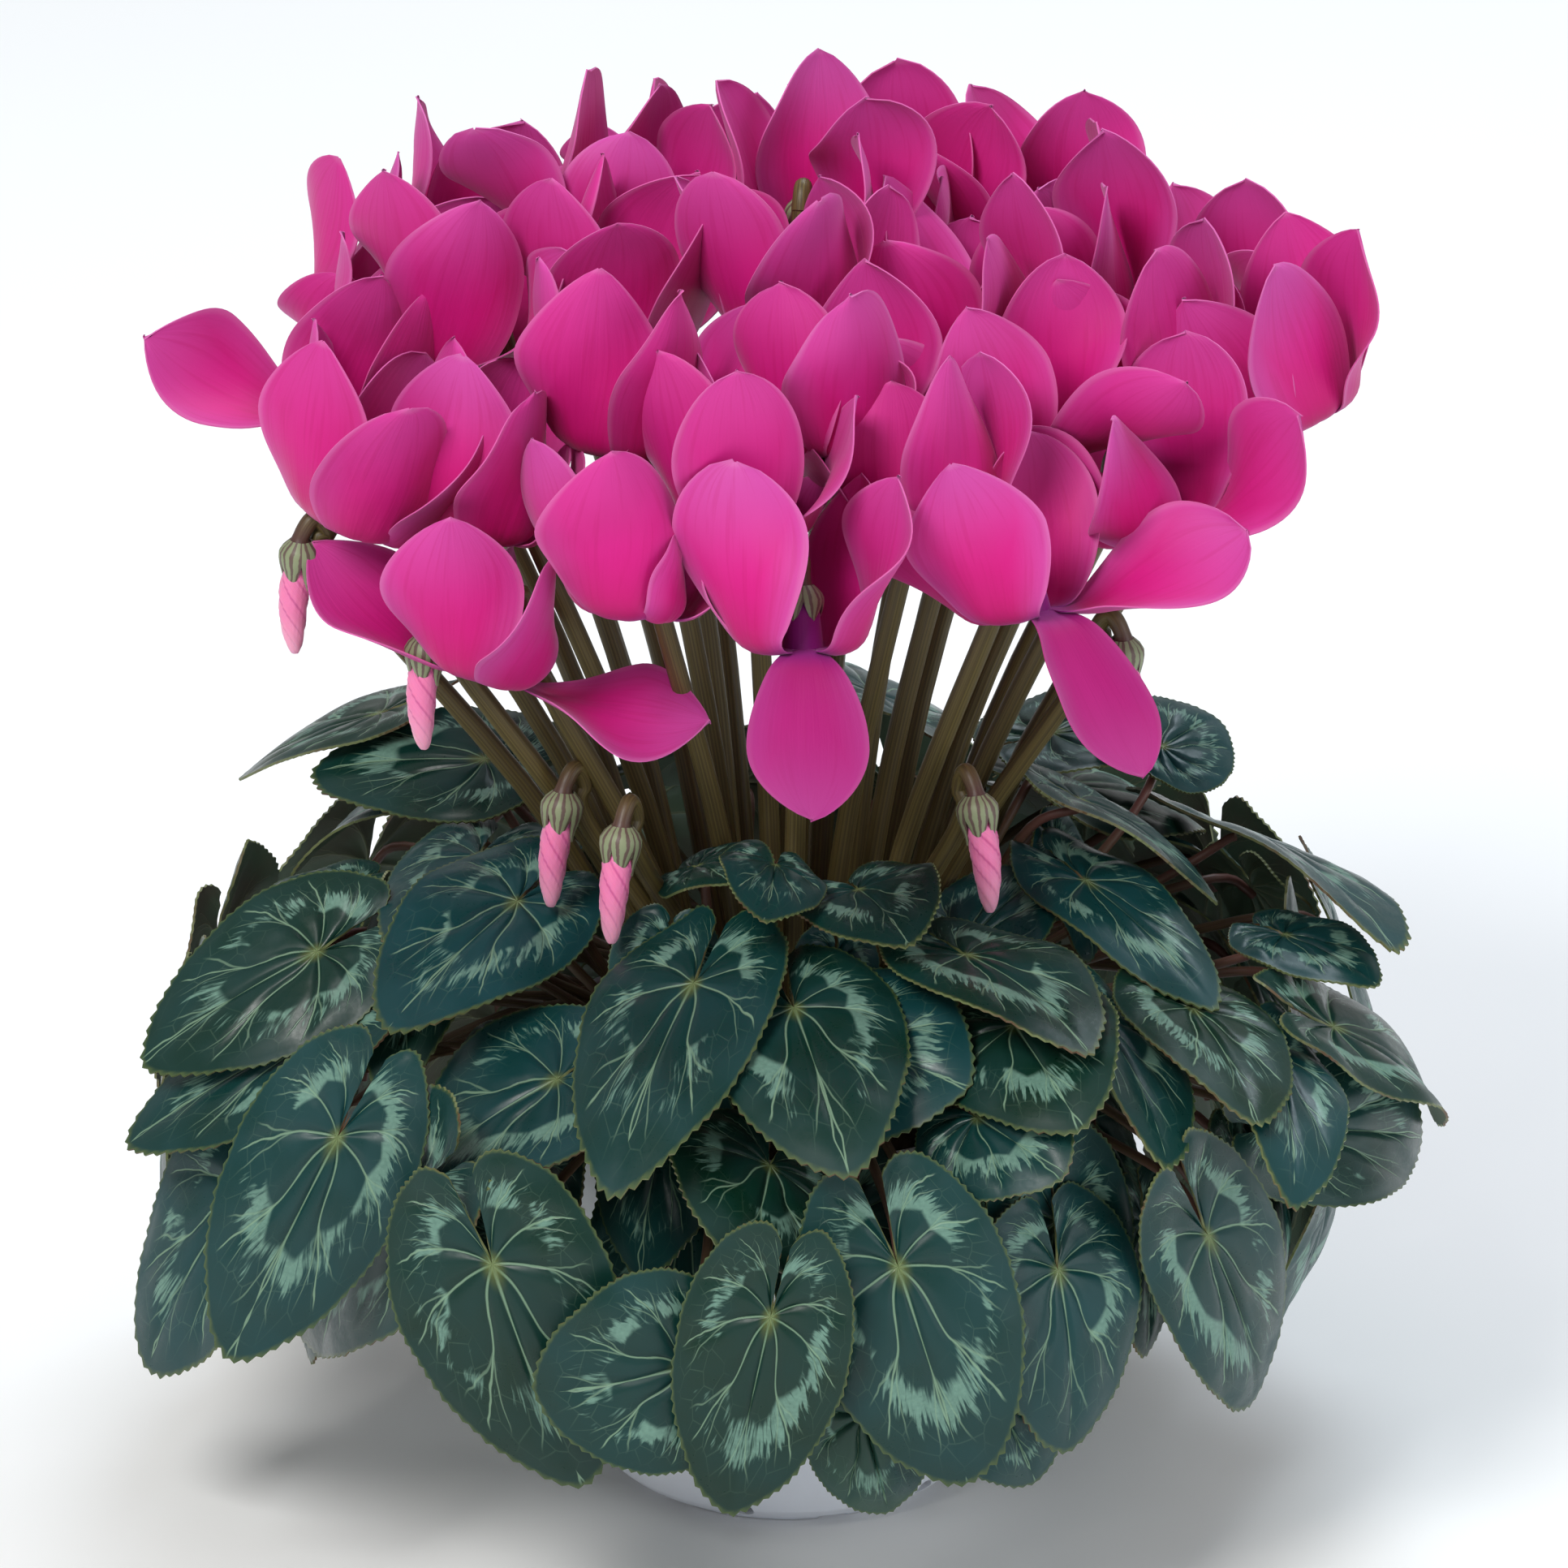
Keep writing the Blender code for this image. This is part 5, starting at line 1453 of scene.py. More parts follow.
    def crown(self) -> Object:
        """The low knobbly crown that the stalks grow from."""
        domed = [(0.0, self.crown_top), (self.crown_radius * 0.55, self.crown_top - 0.2)]
        edge = [(self.crown_radius - 2.4, self.crown_top - 1.0), (self.crown_radius, self.crown_top - 3.0)]
        low = [(self.crown_radius - 0.6, self.crown_foot), (0.0, self.crown_foot)]
        crown = spun("crown", [*domed, *edge, *low], 48)
        roughened(crown, 5, 0.8, 0.2, self.crown_foot + 1.0)
        return crown

    def build(self, skin: Material, sepal: Material) -> None:
        """Builds and dresses the stalks, their calyces and the crown."""
        pattern = SheetPattern(self.sepal_rows, self.sepal_columns, "petal_map", thin=0.5)
        green = [self.crown(), *(self.stalk(path) for path in self.paths)]
        sheets = []
        for i, flower in enumerate(self.flowers):
            length = self.sepal_length if i < len(BLOOMS) else self.bud_sepal_length
            sheets += self.sepals(flower, length, pattern)
        pattern.remove()
        stalks = joined("stalks", green)
        leaves = joined("sepals", sheets)
        thicken(leaves, self.sepal_thickness)
        stalks.data.materials.append(skin)
        leaves.data.materials.append(sepal)
        whole = joined("Flower_stalks", [stalks, leaves])
        shade_round(whole, 50.0)
        declare(whole, Slot.STALK, "flower_stalks")


@dataclass
class Buds:
    """Closed buds: five petals furled round each other, hanging from their calyces."""

    stalks: FlowerStalks
    length: float = 27.0
    radius: float = 4.3
    waist: float = 0.88
    turns: float = 0.9
    overlap: float = 0.13
    segments: int = 60
    rings: int = 28

    def top(self, flower: Flower) -> np.ndarray:
        """Where a bud starts under its calyx."""
        return flower.mouth - flower.axis * (self.stalks.calyx_drop - GAP)

    def keep_clear(self, clearance: Clearance) -> None:
        """Adds the buds to what later pieces stay clear of."""
        for flower in self.stalks.flowers[len(BLOOMS):]:
            top = self.top(flower)
            tip = top + flower.axis * self.length
            path = np.array([top + flower.axis * 2.0, (top + tip) / 2.0, tip])
            clearance.add("bud", clearance.tree(*tube_shell(path, self.radius + CLEARANCE)))

    def body(self, name: str, flower: Flower, turn: float) -> Object:
        """One bud: a sphere drawn out to a point, with five spiral overlaps."""
        deselect_all()
        bpy.ops.mesh.primitive_uv_sphere_add(segments=self.segments, ring_count=self.rings, radius=1.0)
        bud = bpy.context.active_object
        bud.name = name
        places = points_of(bud)
        along = (1.0 - places[:, 2]) / 2.0
        angle = np.arctan2(places[:, 1], places[:, 0])
        profile = np.sqrt(np.clip(1.0 - ((along - 0.3) / np.where(along < 0.3, 0.32, 0.72)) ** 2, 0.0, 1.0))
        spiral = 5.0 * angle / (2.0 * math.pi) + 5.0 * self.turns * along + turn
        lap = 1.0 + self.overlap * (spiral % 1.0 - 0.5) * smooth(along * 4.0)
        reach = self.radius * self.waist * profile * lap
        side = np.cos(angle)[:, None] * flower.outer + np.sin(angle)[:, None] * flower.cross
        bow = flower.outer * 1.2 * np.sin(math.pi * along)[:, None]
        drop = flower.axis * (along * self.length)[:, None]
        move_points(bud, self.top(flower) + side * reach[:, None] + drop + bow)
        layer = bud.data.uv_layers[0]
        layer.name = "petal_map"
        uv = np.stack([spiral, along * 0.99], axis=1)[corners_of(bud)]
        for polygon in bud.data.polygons:
            laps = uv[polygon.loop_indices, 0]
            uv[polygon.loop_indices, 0] = np.where(laps < laps.max() - 2.5, laps + 5.0, laps)
        layer.data.foreach_set("uv", uv.astype(np.float32).ravel())
        bm = bmesh.new()
        bm.from_mesh(bud.data)
        bmesh.ops.recalc_face_normals(bm, faces=bm.faces)
        bm.to_mesh(bud.data)
        bm.free()
        return bud

    def build(self, finish: Material) -> None:
        """Builds and dresses the buds."""
        for i, flower in enumerate(self.stalks.flowers[len(BLOOMS):]):
            bud = self.body(f"Bud_{i + 1}", flower, 0.37 * i)
            bud.data.materials.append(finish)
            shade_round(bud, 55.0)
            declare(bud, Slot.BUD, f"bud_{i + 1}")


@dataclass
class Blooms:
    """Open corollas: a short closed-topped tube whose rim runs on into swept-back petals."""

    tube_radius: float = 5.2
    tube_top_radius: float = 4.0
    tube_length: float = 12.3
    span: float = math.radians(27.0)
    length: float = 52.0
    half_width: float = 15.4
    thickness: float = 0.8
    seats: tuple[float, ...] = (0.0, 64.0, -64.0, 128.0, -128.0)
    order: tuple[int, ...] = (0, 3, 4, 1, 2)
    broad: float = 0.6
    steps: int = 60
    test_rows: tuple[float, ...] = (0.0, 0.19, 0.56, 0.85, 1.0)
    test_columns: tuple[float, ...] = (-1.0, 1.0)
    tries: int = 110
    fine_rows: int = 31
    fine_columns: int = 15
    fine_width: float = 1.15
    fine_length: float = 1.04
    lying: tuple[float, float] = (0.9, 1.9)
    lying_twist: float = 0.85
    hanging: float = 2.2
    hanging_width: float = 0.9
    # Share of painted shade, in purple, on the petals that hang down.
    hanging_painted_shade: float = 0.65
    frill: float = 0.7
    curl: float = 3.4
    shapes: list[list[PetalShape]] = field(default_factory=list)

    def petal_half_width(self, q: np.ndarray, half_width: float, outline: PetalOutline) -> np.ndarray:
        """Half width at shares of the length: a narrow claw, broad past the middle, a blunt point."""
        q = np.asarray(q)
        wave = np.sin(0.5 * math.pi * np.minimum(q / self.broad, 1.0)) ** outline.power
        claw = half_width * (outline.claw + (1.0 - outline.claw) * wave)
        point = np.clip((q - self.broad) / (1.0 - self.broad), 0.0, 1.0)
        blunt = half_width * (1.0 - point**outline.blunt) ** outline.close
        half = np.where(q <= self.broad, claw, blunt)
        return np.where(q <= 0.0, self.tube_radius * math.sin(self.span), half)

    def petal_grid(
        self, flower: Flower, shape: PetalShape, rows: np.ndarray, columns: np.ndarray,
        outline: PetalOutline = SOLID_OUTLINE,
    ) -> np.ndarray:
        """Points of a petal's middle surface.

        Args:
            flower: Frame of the flower.
            shape: Shape of the petal.
            rows: Shares of the length, in steps that the length is walked in.
            columns: Places across, from -1 to 1.
            outline: How the petal widens and closes.

        Returns:
            The points, as rows and columns.
        """
        mouth, axis, outer, cross = flower
        seat, lean, tip_lean, twist, length, width, cup = shape
        out = math.cos(seat) * outer + math.sin(seat) * cross
        rim = np.cross(-axis, out)
        q = np.arange(self.steps + 1) / self.steps
        turn = smooth(q * length / 15.0)
        angle = (1.0 - turn) * math.radians(104.0) + turn * lean + (tip_lean - lean) * q**1.5
        along = np.sin(angle)[:, None] * out - np.cos(angle)[:, None] * axis
        start = mouth + out * self.tube_radius * math.cos(self.span)
        centre = start + np.vstack([np.zeros(3), np.cumsum(along[:-1], axis=0)]) * (length / self.steps)
        at = np.rint(np.asarray(rows) * self.steps).astype(int)
        along = along[at]
        half = self.petal_half_width(rows, width, outline)[:, None, None]
        turned_by = (twist * smooth(np.asarray(rows) * 1.15))[:, None]
        face = np.cross(along, rim)
        side = np.cos(turned_by) * rim + np.sin(turned_by) * face
        normal = np.cross(along, side)
        t = np.asarray(columns)[None, :, None]
        fade = ((1.0 - 0.35 * np.asarray(rows)) * smooth(np.asarray(rows) * 4.0))[:, None, None]
        bend = cup * half * (t * t - 0.33) * fade
        return centre[at][:, None, :] + side[:, None, :] * half * t + normal[:, None, :] * bend

    def choices(self, rng: np.random.Generator, seat: float, given: float | None) -> Iterator[PetalShape]:
        """Shapes to try for one petal, the wished one first.

        Args:
            rng: Source of the draws.
            seat: Seat round the mouth, in degrees.
            given: Angle from the upright where the petal hangs or lies out, or None.

        Yields:
            The shapes, looser and at last smaller ones.
        """
        upright = rng.uniform(4.0, 24.0) if abs(seat) < 90.0 else rng.uniform(12.0, 34.0)
        lean = math.radians(given if given else upright)
        tip = math.radians(given - 12.0 if given else rng.uniform(-6.0, 34.0))
        twist = math.radians(rng.uniform(24.0, 56.0) if not given else rng.uniform(-16.0, 16.0))
        length = self.length * rng.uniform(0.95, 1.06)
        width = self.half_width * rng.uniform(0.94, 1.08)
        cup = rng.uniform(0.12, 0.34)
        for k in range(self.tries):
            shrink = 1.0 - 0.55 * max(0.0, (k - 50) / (self.tries - 50))
            loose = min(1.0, k / 16.0)
            yield PetalShape(
                math.radians(seat + loose * rng.uniform(-4.0, 4.0)),
                lean + loose * rng.uniform(-0.35, 0.5),
                tip + loose * rng.uniform(-0.6, 0.6),
                twist + loose * rng.uniform(-0.8, 0.8),
                length * (1.0 - loose * rng.uniform(0.0, 0.10)) * shrink,
                width * (1.0 - loose * rng.uniform(0.0, 0.12)) * (0.4 + 0.6 * shrink),
                cup,
            )

    def place(self, flowers: list[Flower], clearance: Clearance) -> None:
        """Finds each petal's shape, bent clear of the stalks and of earlier petals, or leaves it out."""
        rng = np.random.default_rng(PETAL_SEED)
        self.shapes = [[] for _ in flowers]
        half = self.thickness / 2.0 + CLEARANCE
        for index, (mouth, axis, _, _) in enumerate(flowers):
            tube = np.array([mouth + axis, mouth - axis * self.tube_length])
            sleeve = tube_shell(tube, self.tube_radius * 1.2 + CLEARANCE)
            clearance.add(f"tube_{index}", clearance.tree(*sleeve))
        for number in self.order:
            for index, flower in enumerate(flowers):
                given = dict(BLOOMS[index][3]).get(number)
                for shape in self.choices(rng, self.seats[number], given):
                    grid = self.petal_grid(flower, shape, self.test_rows, self.test_columns)
                    claw = clearance.tree(*sheet_shell(grid[:2], half))
                    blade = clearance.tree(*sheet_shell(grid[1:], half))
                    own = f"tube_{index}"
                    if not clearance.crosses(blade, own) and not clearance.crosses(claw, own):
                        clearance.add("petal", blade)
                        clearance.add(own, claw)
                        self.shapes[index].append(shape)
                        break

    @staticmethod
    def normals(grid: np.ndarray) -> np.ndarray:
        """Unit normals of a grid of points."""
        normal = np.cross(np.gradient(grid, axis=1), np.gradient(grid, axis=0))
        normal /= np.maximum(np.linalg.norm(normal, axis=2, keepdims=True), 1e-9)
        normal[-1] = normal[-2]
        return normal

    def openness(self, flower: Flower, shape: PetalShape) -> float:
        """How much a petal that lies out shows its face to the front."""
        grid = self.petal_grid(flower, shape, np.array([0.4, 0.5, 0.6]), np.array([-1.0, 0.0, 1.0]))
        return abs(float(self.normals(grid)[1, 1].dot(VIEWER)))

    def fill(self, rng: np.random.Generator) -> None:
        """Gives each bloom the petals that its solid has no room for."""
        for index, shapes in enumerate(self.shapes):
            for number, seat in enumerate(self.seats):
                far = [abs(math.degrees(shape.seat) - seat) for shape in shapes]
                if min(far, default=360.0) > 20.0:
                    given = dict(BLOOMS[index][3]).get(number)
                    shapes.append(next(self.choices(rng, seat, given)))

    def petal(
        self, flower: Flower, shape: PetalShape, pattern: SheetPattern, rng: np.random.Generator
    ) -> Object:
        """One fine petal, softly frilled, with a thin edge."""
        rows = np.linspace(0.0, 1.0, self.fine_rows)
        columns = np.linspace(-1.0, 1.0, self.fine_columns)
        q, t = rows[:, None], columns[None, :]
        hangs = shape.lean > self.hanging
        wide = self.hanging_width if hangs else self.fine_width
        shape = shape._replace(
            length=shape.length * self.fine_length, width=shape.width * wide,
            cup=shape.cup * rng.uniform(0.9, 1.7), twist=shape.twist + rng.uniform(-0.15, 0.15),
        )
        if self.lying[0] < shape.lean < self.lying[1]:
            turns = (-self.lying_twist, self.lying_twist)
            twisted = [shape._replace(twist=shape.twist + turn) for turn in turns]
            shape = max(twisted, key=lambda s: self.openness(flower, s))
        tip = rng.uniform()
        outline = PetalOutline(0.32, 1.15, 2.4 - 0.9 * tip, 0.62 + 0.25 * tip)
        grid = self.petal_grid(flower, shape, rows, columns, outline)
        normal = self.normals(grid)
        ripple = np.sin(q * rng.uniform(7.0, 12.0) + t * 1.6 + rng.uniform(0.0, 6.28))
        rise = self.frill * ripple * np.abs(t) ** 1.5 * smooth(q * 2.0)
        for hand in (-1.0, 1.0):
            turned = np.maximum(0.0, hand * t - 0.25) ** 2 * np.sin(math.pi * q) ** 0.7
            rise = rise + self.curl * rng.uniform(-1.0, 1.0) * turned
        rise = rise + self.curl * rng.uniform(-0.7, 0.5) * smooth((q - 0.6) / 0.4) ** 2
        crease = -0.5 * np.exp(-((t / 0.12) ** 2)) * smooth(q * 3.0) * (1.0 - q)
        grid = grid + normal * (rise + crease)[..., None]
        petal = pattern.shaped("petal", grid, sheet_map(rows, columns))
        # The tint's third channel paints shade on the hanging petals.
        mark(petal, "petal_tint", (rng.uniform(), rng.uniform(), self.hanging_painted_shade if hangs else 0.0))
        return petal

    def tube(self, flower: Flower) -> Object:
        """The short tube under the calyx, open at the mouth, with a round top."""
        depth = np.array([5.0, 4.0, 2.0, 0.2, 0.0, 0.2, 1.0, 3.0, 6.0, 9.0, 11.0, 11.8, 12.1])
        reach = np.interp(depth, (0.0, self.tube_length), (self.tube_radius, self.tube_top_radius))
        reach[:4] -= (2.6, 1.6, 1.0, 0.8)
        reach[4] -= 0.4
        reach[-3:] *= (0.97, 0.8, 0.4)
        path = flower.mouth - flower.axis * depth[:, None]
        outer = stem("tube", path, reach, 20, "petal_map", -flower.axis)
        layer = outer.data.uv_layers[0].data
        uv = np.empty(len(layer) * 2)
        layer.foreach_get("uv", uv)
        uv[1::2] *= 0.04
        layer.foreach_set("uv", uv)
        mark(outer, "petal_tint", (0.5, 0.5, 0.0))
        return outer

    def build(self, flowers: list[Flower], velvet: Material) -> None:
        """Builds and dresses the corollas."""
        rng = np.random.default_rng(TINT_SEED)
        self.fill(rng)
        pattern = SheetPattern(self.fine_rows, self.fine_columns, "petal_map", thin=0.3)
        for index, shapes in enumerate(self.shapes):
            petals = [self.petal(flowers[index], shape, pattern, rng) for shape in shapes]
            sheet = joined("petals", petals)
            weld_sheet(sheet, WELD_TIP)
            thicken(sheet, self.thickness)
            bloom = joined(f"Bloom_{index + 1:02d}", [sheet, self.tube(flowers[index])])
            bloom.data.materials.clear()
            bloom.data.materials.append(velvet)
            shade_round(bloom, 60.0)
            declare(bloom, Slot.PETAL, f"bloom_{index + 1:02d}")
        pattern.remove()


def leaf_radius(theta: np.ndarray) -> np.ndarray:
    """Outline of a leaf from the stalk's junction, as a share of the length: a blunt-pointed heart."""
    turn = np.abs(theta)
    radius = 0.575 + 0.115 * np.cos(turn) + 0.31 * np.exp(-((turn / 0.55) ** 1.4))
    past = np.maximum(0.0, (np.degrees(turn) - 150.0) / 30.0)
    return radius * (1.0 - 0.45 * past * past)


# How far inside the dome a leaf's junction and its tip lie.
BASE_INSET = 13.0
TIP_INSET = 1.0
# Ring of the leaves' feet, the spacing of petioles on a foot, and the spans of a petiole's test path.
FOOT_RING = 37.0
FOOT_SPACING = 2.1
PETIOLE_STEPS = 3


class Leaf:
    """One leaf: its junction, tip, width and small bends, with the petiole that carries it."""

    def __init__(
        self, base: np.ndarray, tip: np.ndarray, width: float, normal: np.ndarray, rng: np.random.Generator
    ) -> None:
        """Draws the leaf's own bends.

        Args:
            base: Where the stalk joins.
            tip: Where the tip lies.
            width: Greatest width.
            normal: Outward direction.
            rng: Source of the draws.
        """
        self.base = base
        self.tip = tip
        self.width = width
        self.normal = normal
        self.bow = rng.uniform(0.03, 0.075)
        self.cup = rng.uniform(-0.26, 0.02)
        self.fold = rng.uniform(0.0, 0.10)
        self.wave = rng.uniform(0.012, 0.03)
        self.waves = int(rng.integers(3, 6))
        self.phase = rng.uniform(0.0, 6.28)
        self.notch = math.radians(rng.uniform(169.0, 175.0))
        self.roll = 0.0
        self.push = 0.0
        self.lift = 0.0
        self.shrink = 1.0
        self.slide = 0.0
        self.swing = 0.0
        self.rise = 0.0
        self.reach = 0.0
        self.foot = np.zeros(3)
        self.seat = 0.0

    def frame(self) -> tuple[np.ndarray, np.ndarray, np.ndarray, np.ndarray, float]:
        """Junction, and the directions along, across and out of the blade, with the length to the tip."""
        along = unit(self.tip - self.base)
        out = unit(self.normal - along * self.normal.dot(along))
        across = np.cross(out, along)
        out_turned = math.cos(self.roll) * out + math.sin(self.roll) * across
        across = np.cross(out_turned, along)
        base = self.base - self.normal * self.push + across * self.slide
        along = unit(along + out_turned * self.lift)
        out_turned = np.cross(along, across)
        length = float(np.linalg.norm(self.tip - self.base)) * self.shrink
        return base, along, across, out_turned, length

    def surface(
        self, thetas: Sequence[float], shares: Sequence[float], edge: np.ndarray | float = 0.0,
        relief: np.ndarray | float = 0.0,
    ) -> np.ndarray:
        """Points of the blade's middle surface.

        Args:
            thetas: Directions from the junction, with the tip at 0.
            shares: Shares of the outline's radius, a row for each.
            edge: What the radius grows by, as a share of it.
            relief: What a point rises by, as a share of the length.

        Returns:
            The points, as rows and columns.
        """
        base, along, across, out, length = self.frame()
        stretch = self.width * self.shrink / (1.2 * length)
        theta = np.array(thetas)[None, :]
        share = np.array(shares)[:, None]
        r = leaf_radius(theta) * share * (1.0 + edge)
        x = r * np.cos(theta)
        y = r * np.sin(theta) * stretch
        z = 4.0 * self.bow * x * np.where(x >= 0.0, 1.0 - x, 1.0 + 1.1 * x)
        z = z + self.cup * y * y + self.fold * (np.sqrt(y * y + 0.004) - 0.063)
        z = z + self.wave * share * share * np.sin(self.waves * theta + self.phase) + relief
        flat = x[..., None] * along + y[..., None] * across + z[..., None] * out
        return base + length * flat

    def petiole(self) -> np.ndarray:
        """Points of the petiole from its foot on the crown to the blade."""
        base, along, _, out, _ = self.frame()
        foot_azimuth = math.atan2(self.foot[1], self.foot[0])
        outward = polar(1.0, foot_azimuth)
        beside = np.array([-outward[1], outward[0], 0.0])
        foot = self.foot + beside * self.seat * FOOT_SPACING
        r = math.hypot(base[0], base[1])
        azimuth = math.atan2(base[1], base[0])
        turn = (azimuth - foot_azimuth + math.pi) % (2.0 * math.pi) - math.pi
        bearing = foot_azimuth + turn * 0.55 + self.swing
        if base[2] < 134.0:
            reach = 0.5 * (FOOT_RING + r) + 4.0
            height = max(139.0, base[2] + 8.0)
            under = base - out * 6.0 - along * 5.0
        else:
            reach = 0.5 * (FOOT_RING + r) - 2.0
            height = 0.5 * (CORM_TOP + base[2]) + 8.0
            under = base - out * 8.0 - along * 3.0
        reach += self.reach
        shoulder = polar(reach, bearing, height + self.rise)
        start = foot + outward * 2.0 + beside * self.seat * 0.4 + UP * 11.0
        fine = curve_through([foot, start, shoulder, under, base + along * 2.4 - out * 0.1], 3)
        return fine[np.linspace(0, len(fine) - 1, PETIOLE_STEPS + 1).round().astype(int)]


@dataclass
class Foliage:
    """Heart-shaped toothed leaves on the feet of the corm's crown, with further small ones where there is room."""

    dome: FoliageDome
    thickness: float = 0.8
    test_spokes: int = 16
    test_shares: tuple[float, ...] = (0.12, 0.56, 1.0)
    petiole_radius: float = 1.35
    petiole_tip_radius: float = 1.15
    groups: int = 20
    blade_tries: tuple[int, int] = (220, 130)
    fill_tries: tuple[int, int] = (70, 30)
    route_tries: int = 14
    foot_half_height: float = 1.7
    foot_half_depth: float = 2.1
    teeth: int = 76
    tooth_depth: float = 0.0125
    fine_thickness: float = 0.65
    quilt: float = 0.6
    fine_size: float = 1.05
    fine_least: float = 0.88
    fine_low: float = 0.86
    low_tip: float = 46.0
    fill_rows: tuple[tuple[float, float, float, int], ...] = (
        (134.0, 92.0, 46.0, 12), (104.0, 84.0, 44.0, 11), (132.0, 138.0, 46.0, 19), (158.0, 108.0, 40.0, 15),
        (112.0, 146.0, 46.0, 19), (84.0, 132.0, 44.0, 17), (172.0, 74.0, 32.0, 10),
    )
    fill_turn: float = 0.4
    low_row: float = 90.0
    foot_shows: float = -0.72
    extra: dict[int, list[Leaf]] = field(default_factory=dict)
    fine_shares: tuple[float, ...] = (
        0.0, 0.06, 0.14, 0.23, 0.32, 0.41, 0.50, 0.59, 0.68, 0.77, 0.85, 0.92, 0.97, 1.0,
    )
    leaves: list[Leaf] = field(default_factory=list)
    members: list[list[int]] = field(default_factory=list)
    kept: list[int] = field(default_factory=list)

    def front(self, rng: np.random.Generator) -> list[Leaf]:
        """Leaves of the front and sides, from their places in the view."""
        spots = []
        for x0, v0, x1, v1, width in FRONT_LEAVES:
            spots.append((self.dome.on_dome(x0, v0, BASE_INSET), self.dome.on_dome(x1, v1, TIP_INSET), width))
        for x0, v0, x1, v1, width, depth in REAR_LEAVES:
            spots.append((self.dome.sight(x0, v0, depth), self.dome.sight(x1, v1, depth * 1.25 + 8.0), width))
        leaves = []
        for base, tip, width in spots:
            normal = unit(self.dome.normal((base + tip) / 2.0) + 0.25 * VIEWER)
            leaves.append(Leaf(base, tip, float(width), normal, rng))
        return leaves

    def back(self, rng: np.random.Generator) -> list[Leaf]:
        """Leaves of the back, in rows round the dome."""
        leaves = []
        for start, end, count, height, length in BACK_ROWS:
            for k in range(count):
                azimuth = math.radians(start + (end - start) * (k + 0.5) / count + rng.uniform(-5.0, 5.0))
                z = height + rng.uniform(-6.0, 6.0)
                r = self.dome.radius(z) - BASE_INSET
                base = polar(r, azimuth, z)
                size = length * rng.uniform(0.88, 1.08)
                fall = z
                travelled = 0.0
                while travelled < size and fall > 26.0:
                    fall -= 1.0
                    travelled += math.hypot(1.0, self.dome.radius(fall) - self.dome.radius(fall + 1.0))
                slant = azimuth + rng.uniform(-0.16, 0.16)
                tip = polar(self.dome.radius(fall) - TIP_INSET, slant, fall)
                width = size * rng.uniform(0.92, 1.08)
                normal = self.dome.normal((base + tip) / 2.0)
                leaves.append(Leaf(base, tip, width, normal, rng))
        return leaves

    def share_feet(self) -> None:
        """Splits the leaves into groups by azimuth, each with one foot on the crown ring."""
        azimuths = [math.atan2(leaf.base[1], leaf.base[0]) for leaf in self.leaves]
        order = sorted(range(len(self.leaves)), key=lambda i: azimuths[i])
        self.members = [list(g) for g in np.array_split(order, self.groups)]
        means = np.array([np.mean([azimuths[i] for i in g]) for g in self.members])
        spacing = 2.0 * math.pi / self.groups * 0.94
        for _ in range(400):
            for i in range(len(means)):
                j = (i + 1) % len(means)
                between = means[j] - means[i] + (2.0 * math.pi if j == 0 else 0.0)
                if between < spacing:
                    means[j] += (spacing - between) * 0.5
                    means[i] -= (spacing - between) * 0.5
        for group, mean in zip(self.members, means):
            for place, i in enumerate(group):
                self.leaves[i].seat = place - 0.5 * (len(group) - 1)
                self.leaves[i].foot = polar(FOOT_RING, mean, CORM_TOP + GAP + self.foot_half_height)

    def angles(self, leaf: Leaf, spokes: int) -> list[float]:
        """Directions of the outline points, from one side of the notch to the other."""
        return [leaf.notch * (2.0 * k / spokes - 1.0) for k in range(spokes + 1)]

    def blade_choices(self, rng: np.random.Generator, tries: int, firm: int) -> Iterator[Choice]:
        """Settings to try for a blade: as wished, then pushed in, rolled, lifted, slid and at last smaller.

        Args:
            rng: Source of the draws.
            tries: How many there are after the first.
            firm: How many of them keep the full size.

        Yields:
            Push, roll, lift, slide and size.
        """
        yield (0.0, 0.0, 0.0, 0.0, 1.0)
        for k in range(tries):
            loose = min(1.0, 0.2 + k / 60.0)
            yield (
                rng.uniform(-13.0, 26.0) * loose,
                rng.uniform(-0.5, 0.5) * loose,
                rng.uniform(-0.34, 0.34) * loose,
                rng.uniform(-9.0, 9.0) * loose,
                1.0 - 0.4 * max(0.0, (k - firm) / (tries - firm)),
            )

    def route_choices(self, rng: np.random.Generator) -> Iterator[Choice]:
        """Ways to try for a petiole: straight to the blade, then swung round, raised and drawn in or out."""
        yield (0.0, 0.0, 0.0)
        for _ in range(self.route_tries):
            yield (rng.uniform(-0.6, 0.6), rng.uniform(-13.0, 14.0), rng.uniform(-13.0, 12.0))

    def clear_route(
        self, leaf: Leaf, blade: Shell, kin: str, clearance: Clearance, rng: np.random.Generator
    ) -> Shell | None:
        """Sets the petiole's route to one that crosses nothing but its kin.

        Args:
            leaf: The leaf, whose swing, rise and reach are set.
            blade: Shell of its blade.
            kin: Label of the petioles that share its foot.
            clearance: What is placed already.
            rng: Source of the draws.

        Returns:
            The petiole's sleeve, or None where no route is clear.
        """
        for leaf.swing, leaf.rise, leaf.reach in self.route_choices(rng):
            path = leaf.petiole()
            lower = clearance.tree(*tube_shell(path[:-1], self.petiole_radius * 1.15 + CLEARANCE))
            path[-1] -= unit(path[-1] - path[-2]) * 3.0
            sleeve = clearance.tree(*tube_shell(path, self.petiole_radius * 1.15 + CLEARANCE))
            if not lower[0].overlap(blade[0]) and not clearance.crosses(sleeve, kin):
                return sleeve
        return None

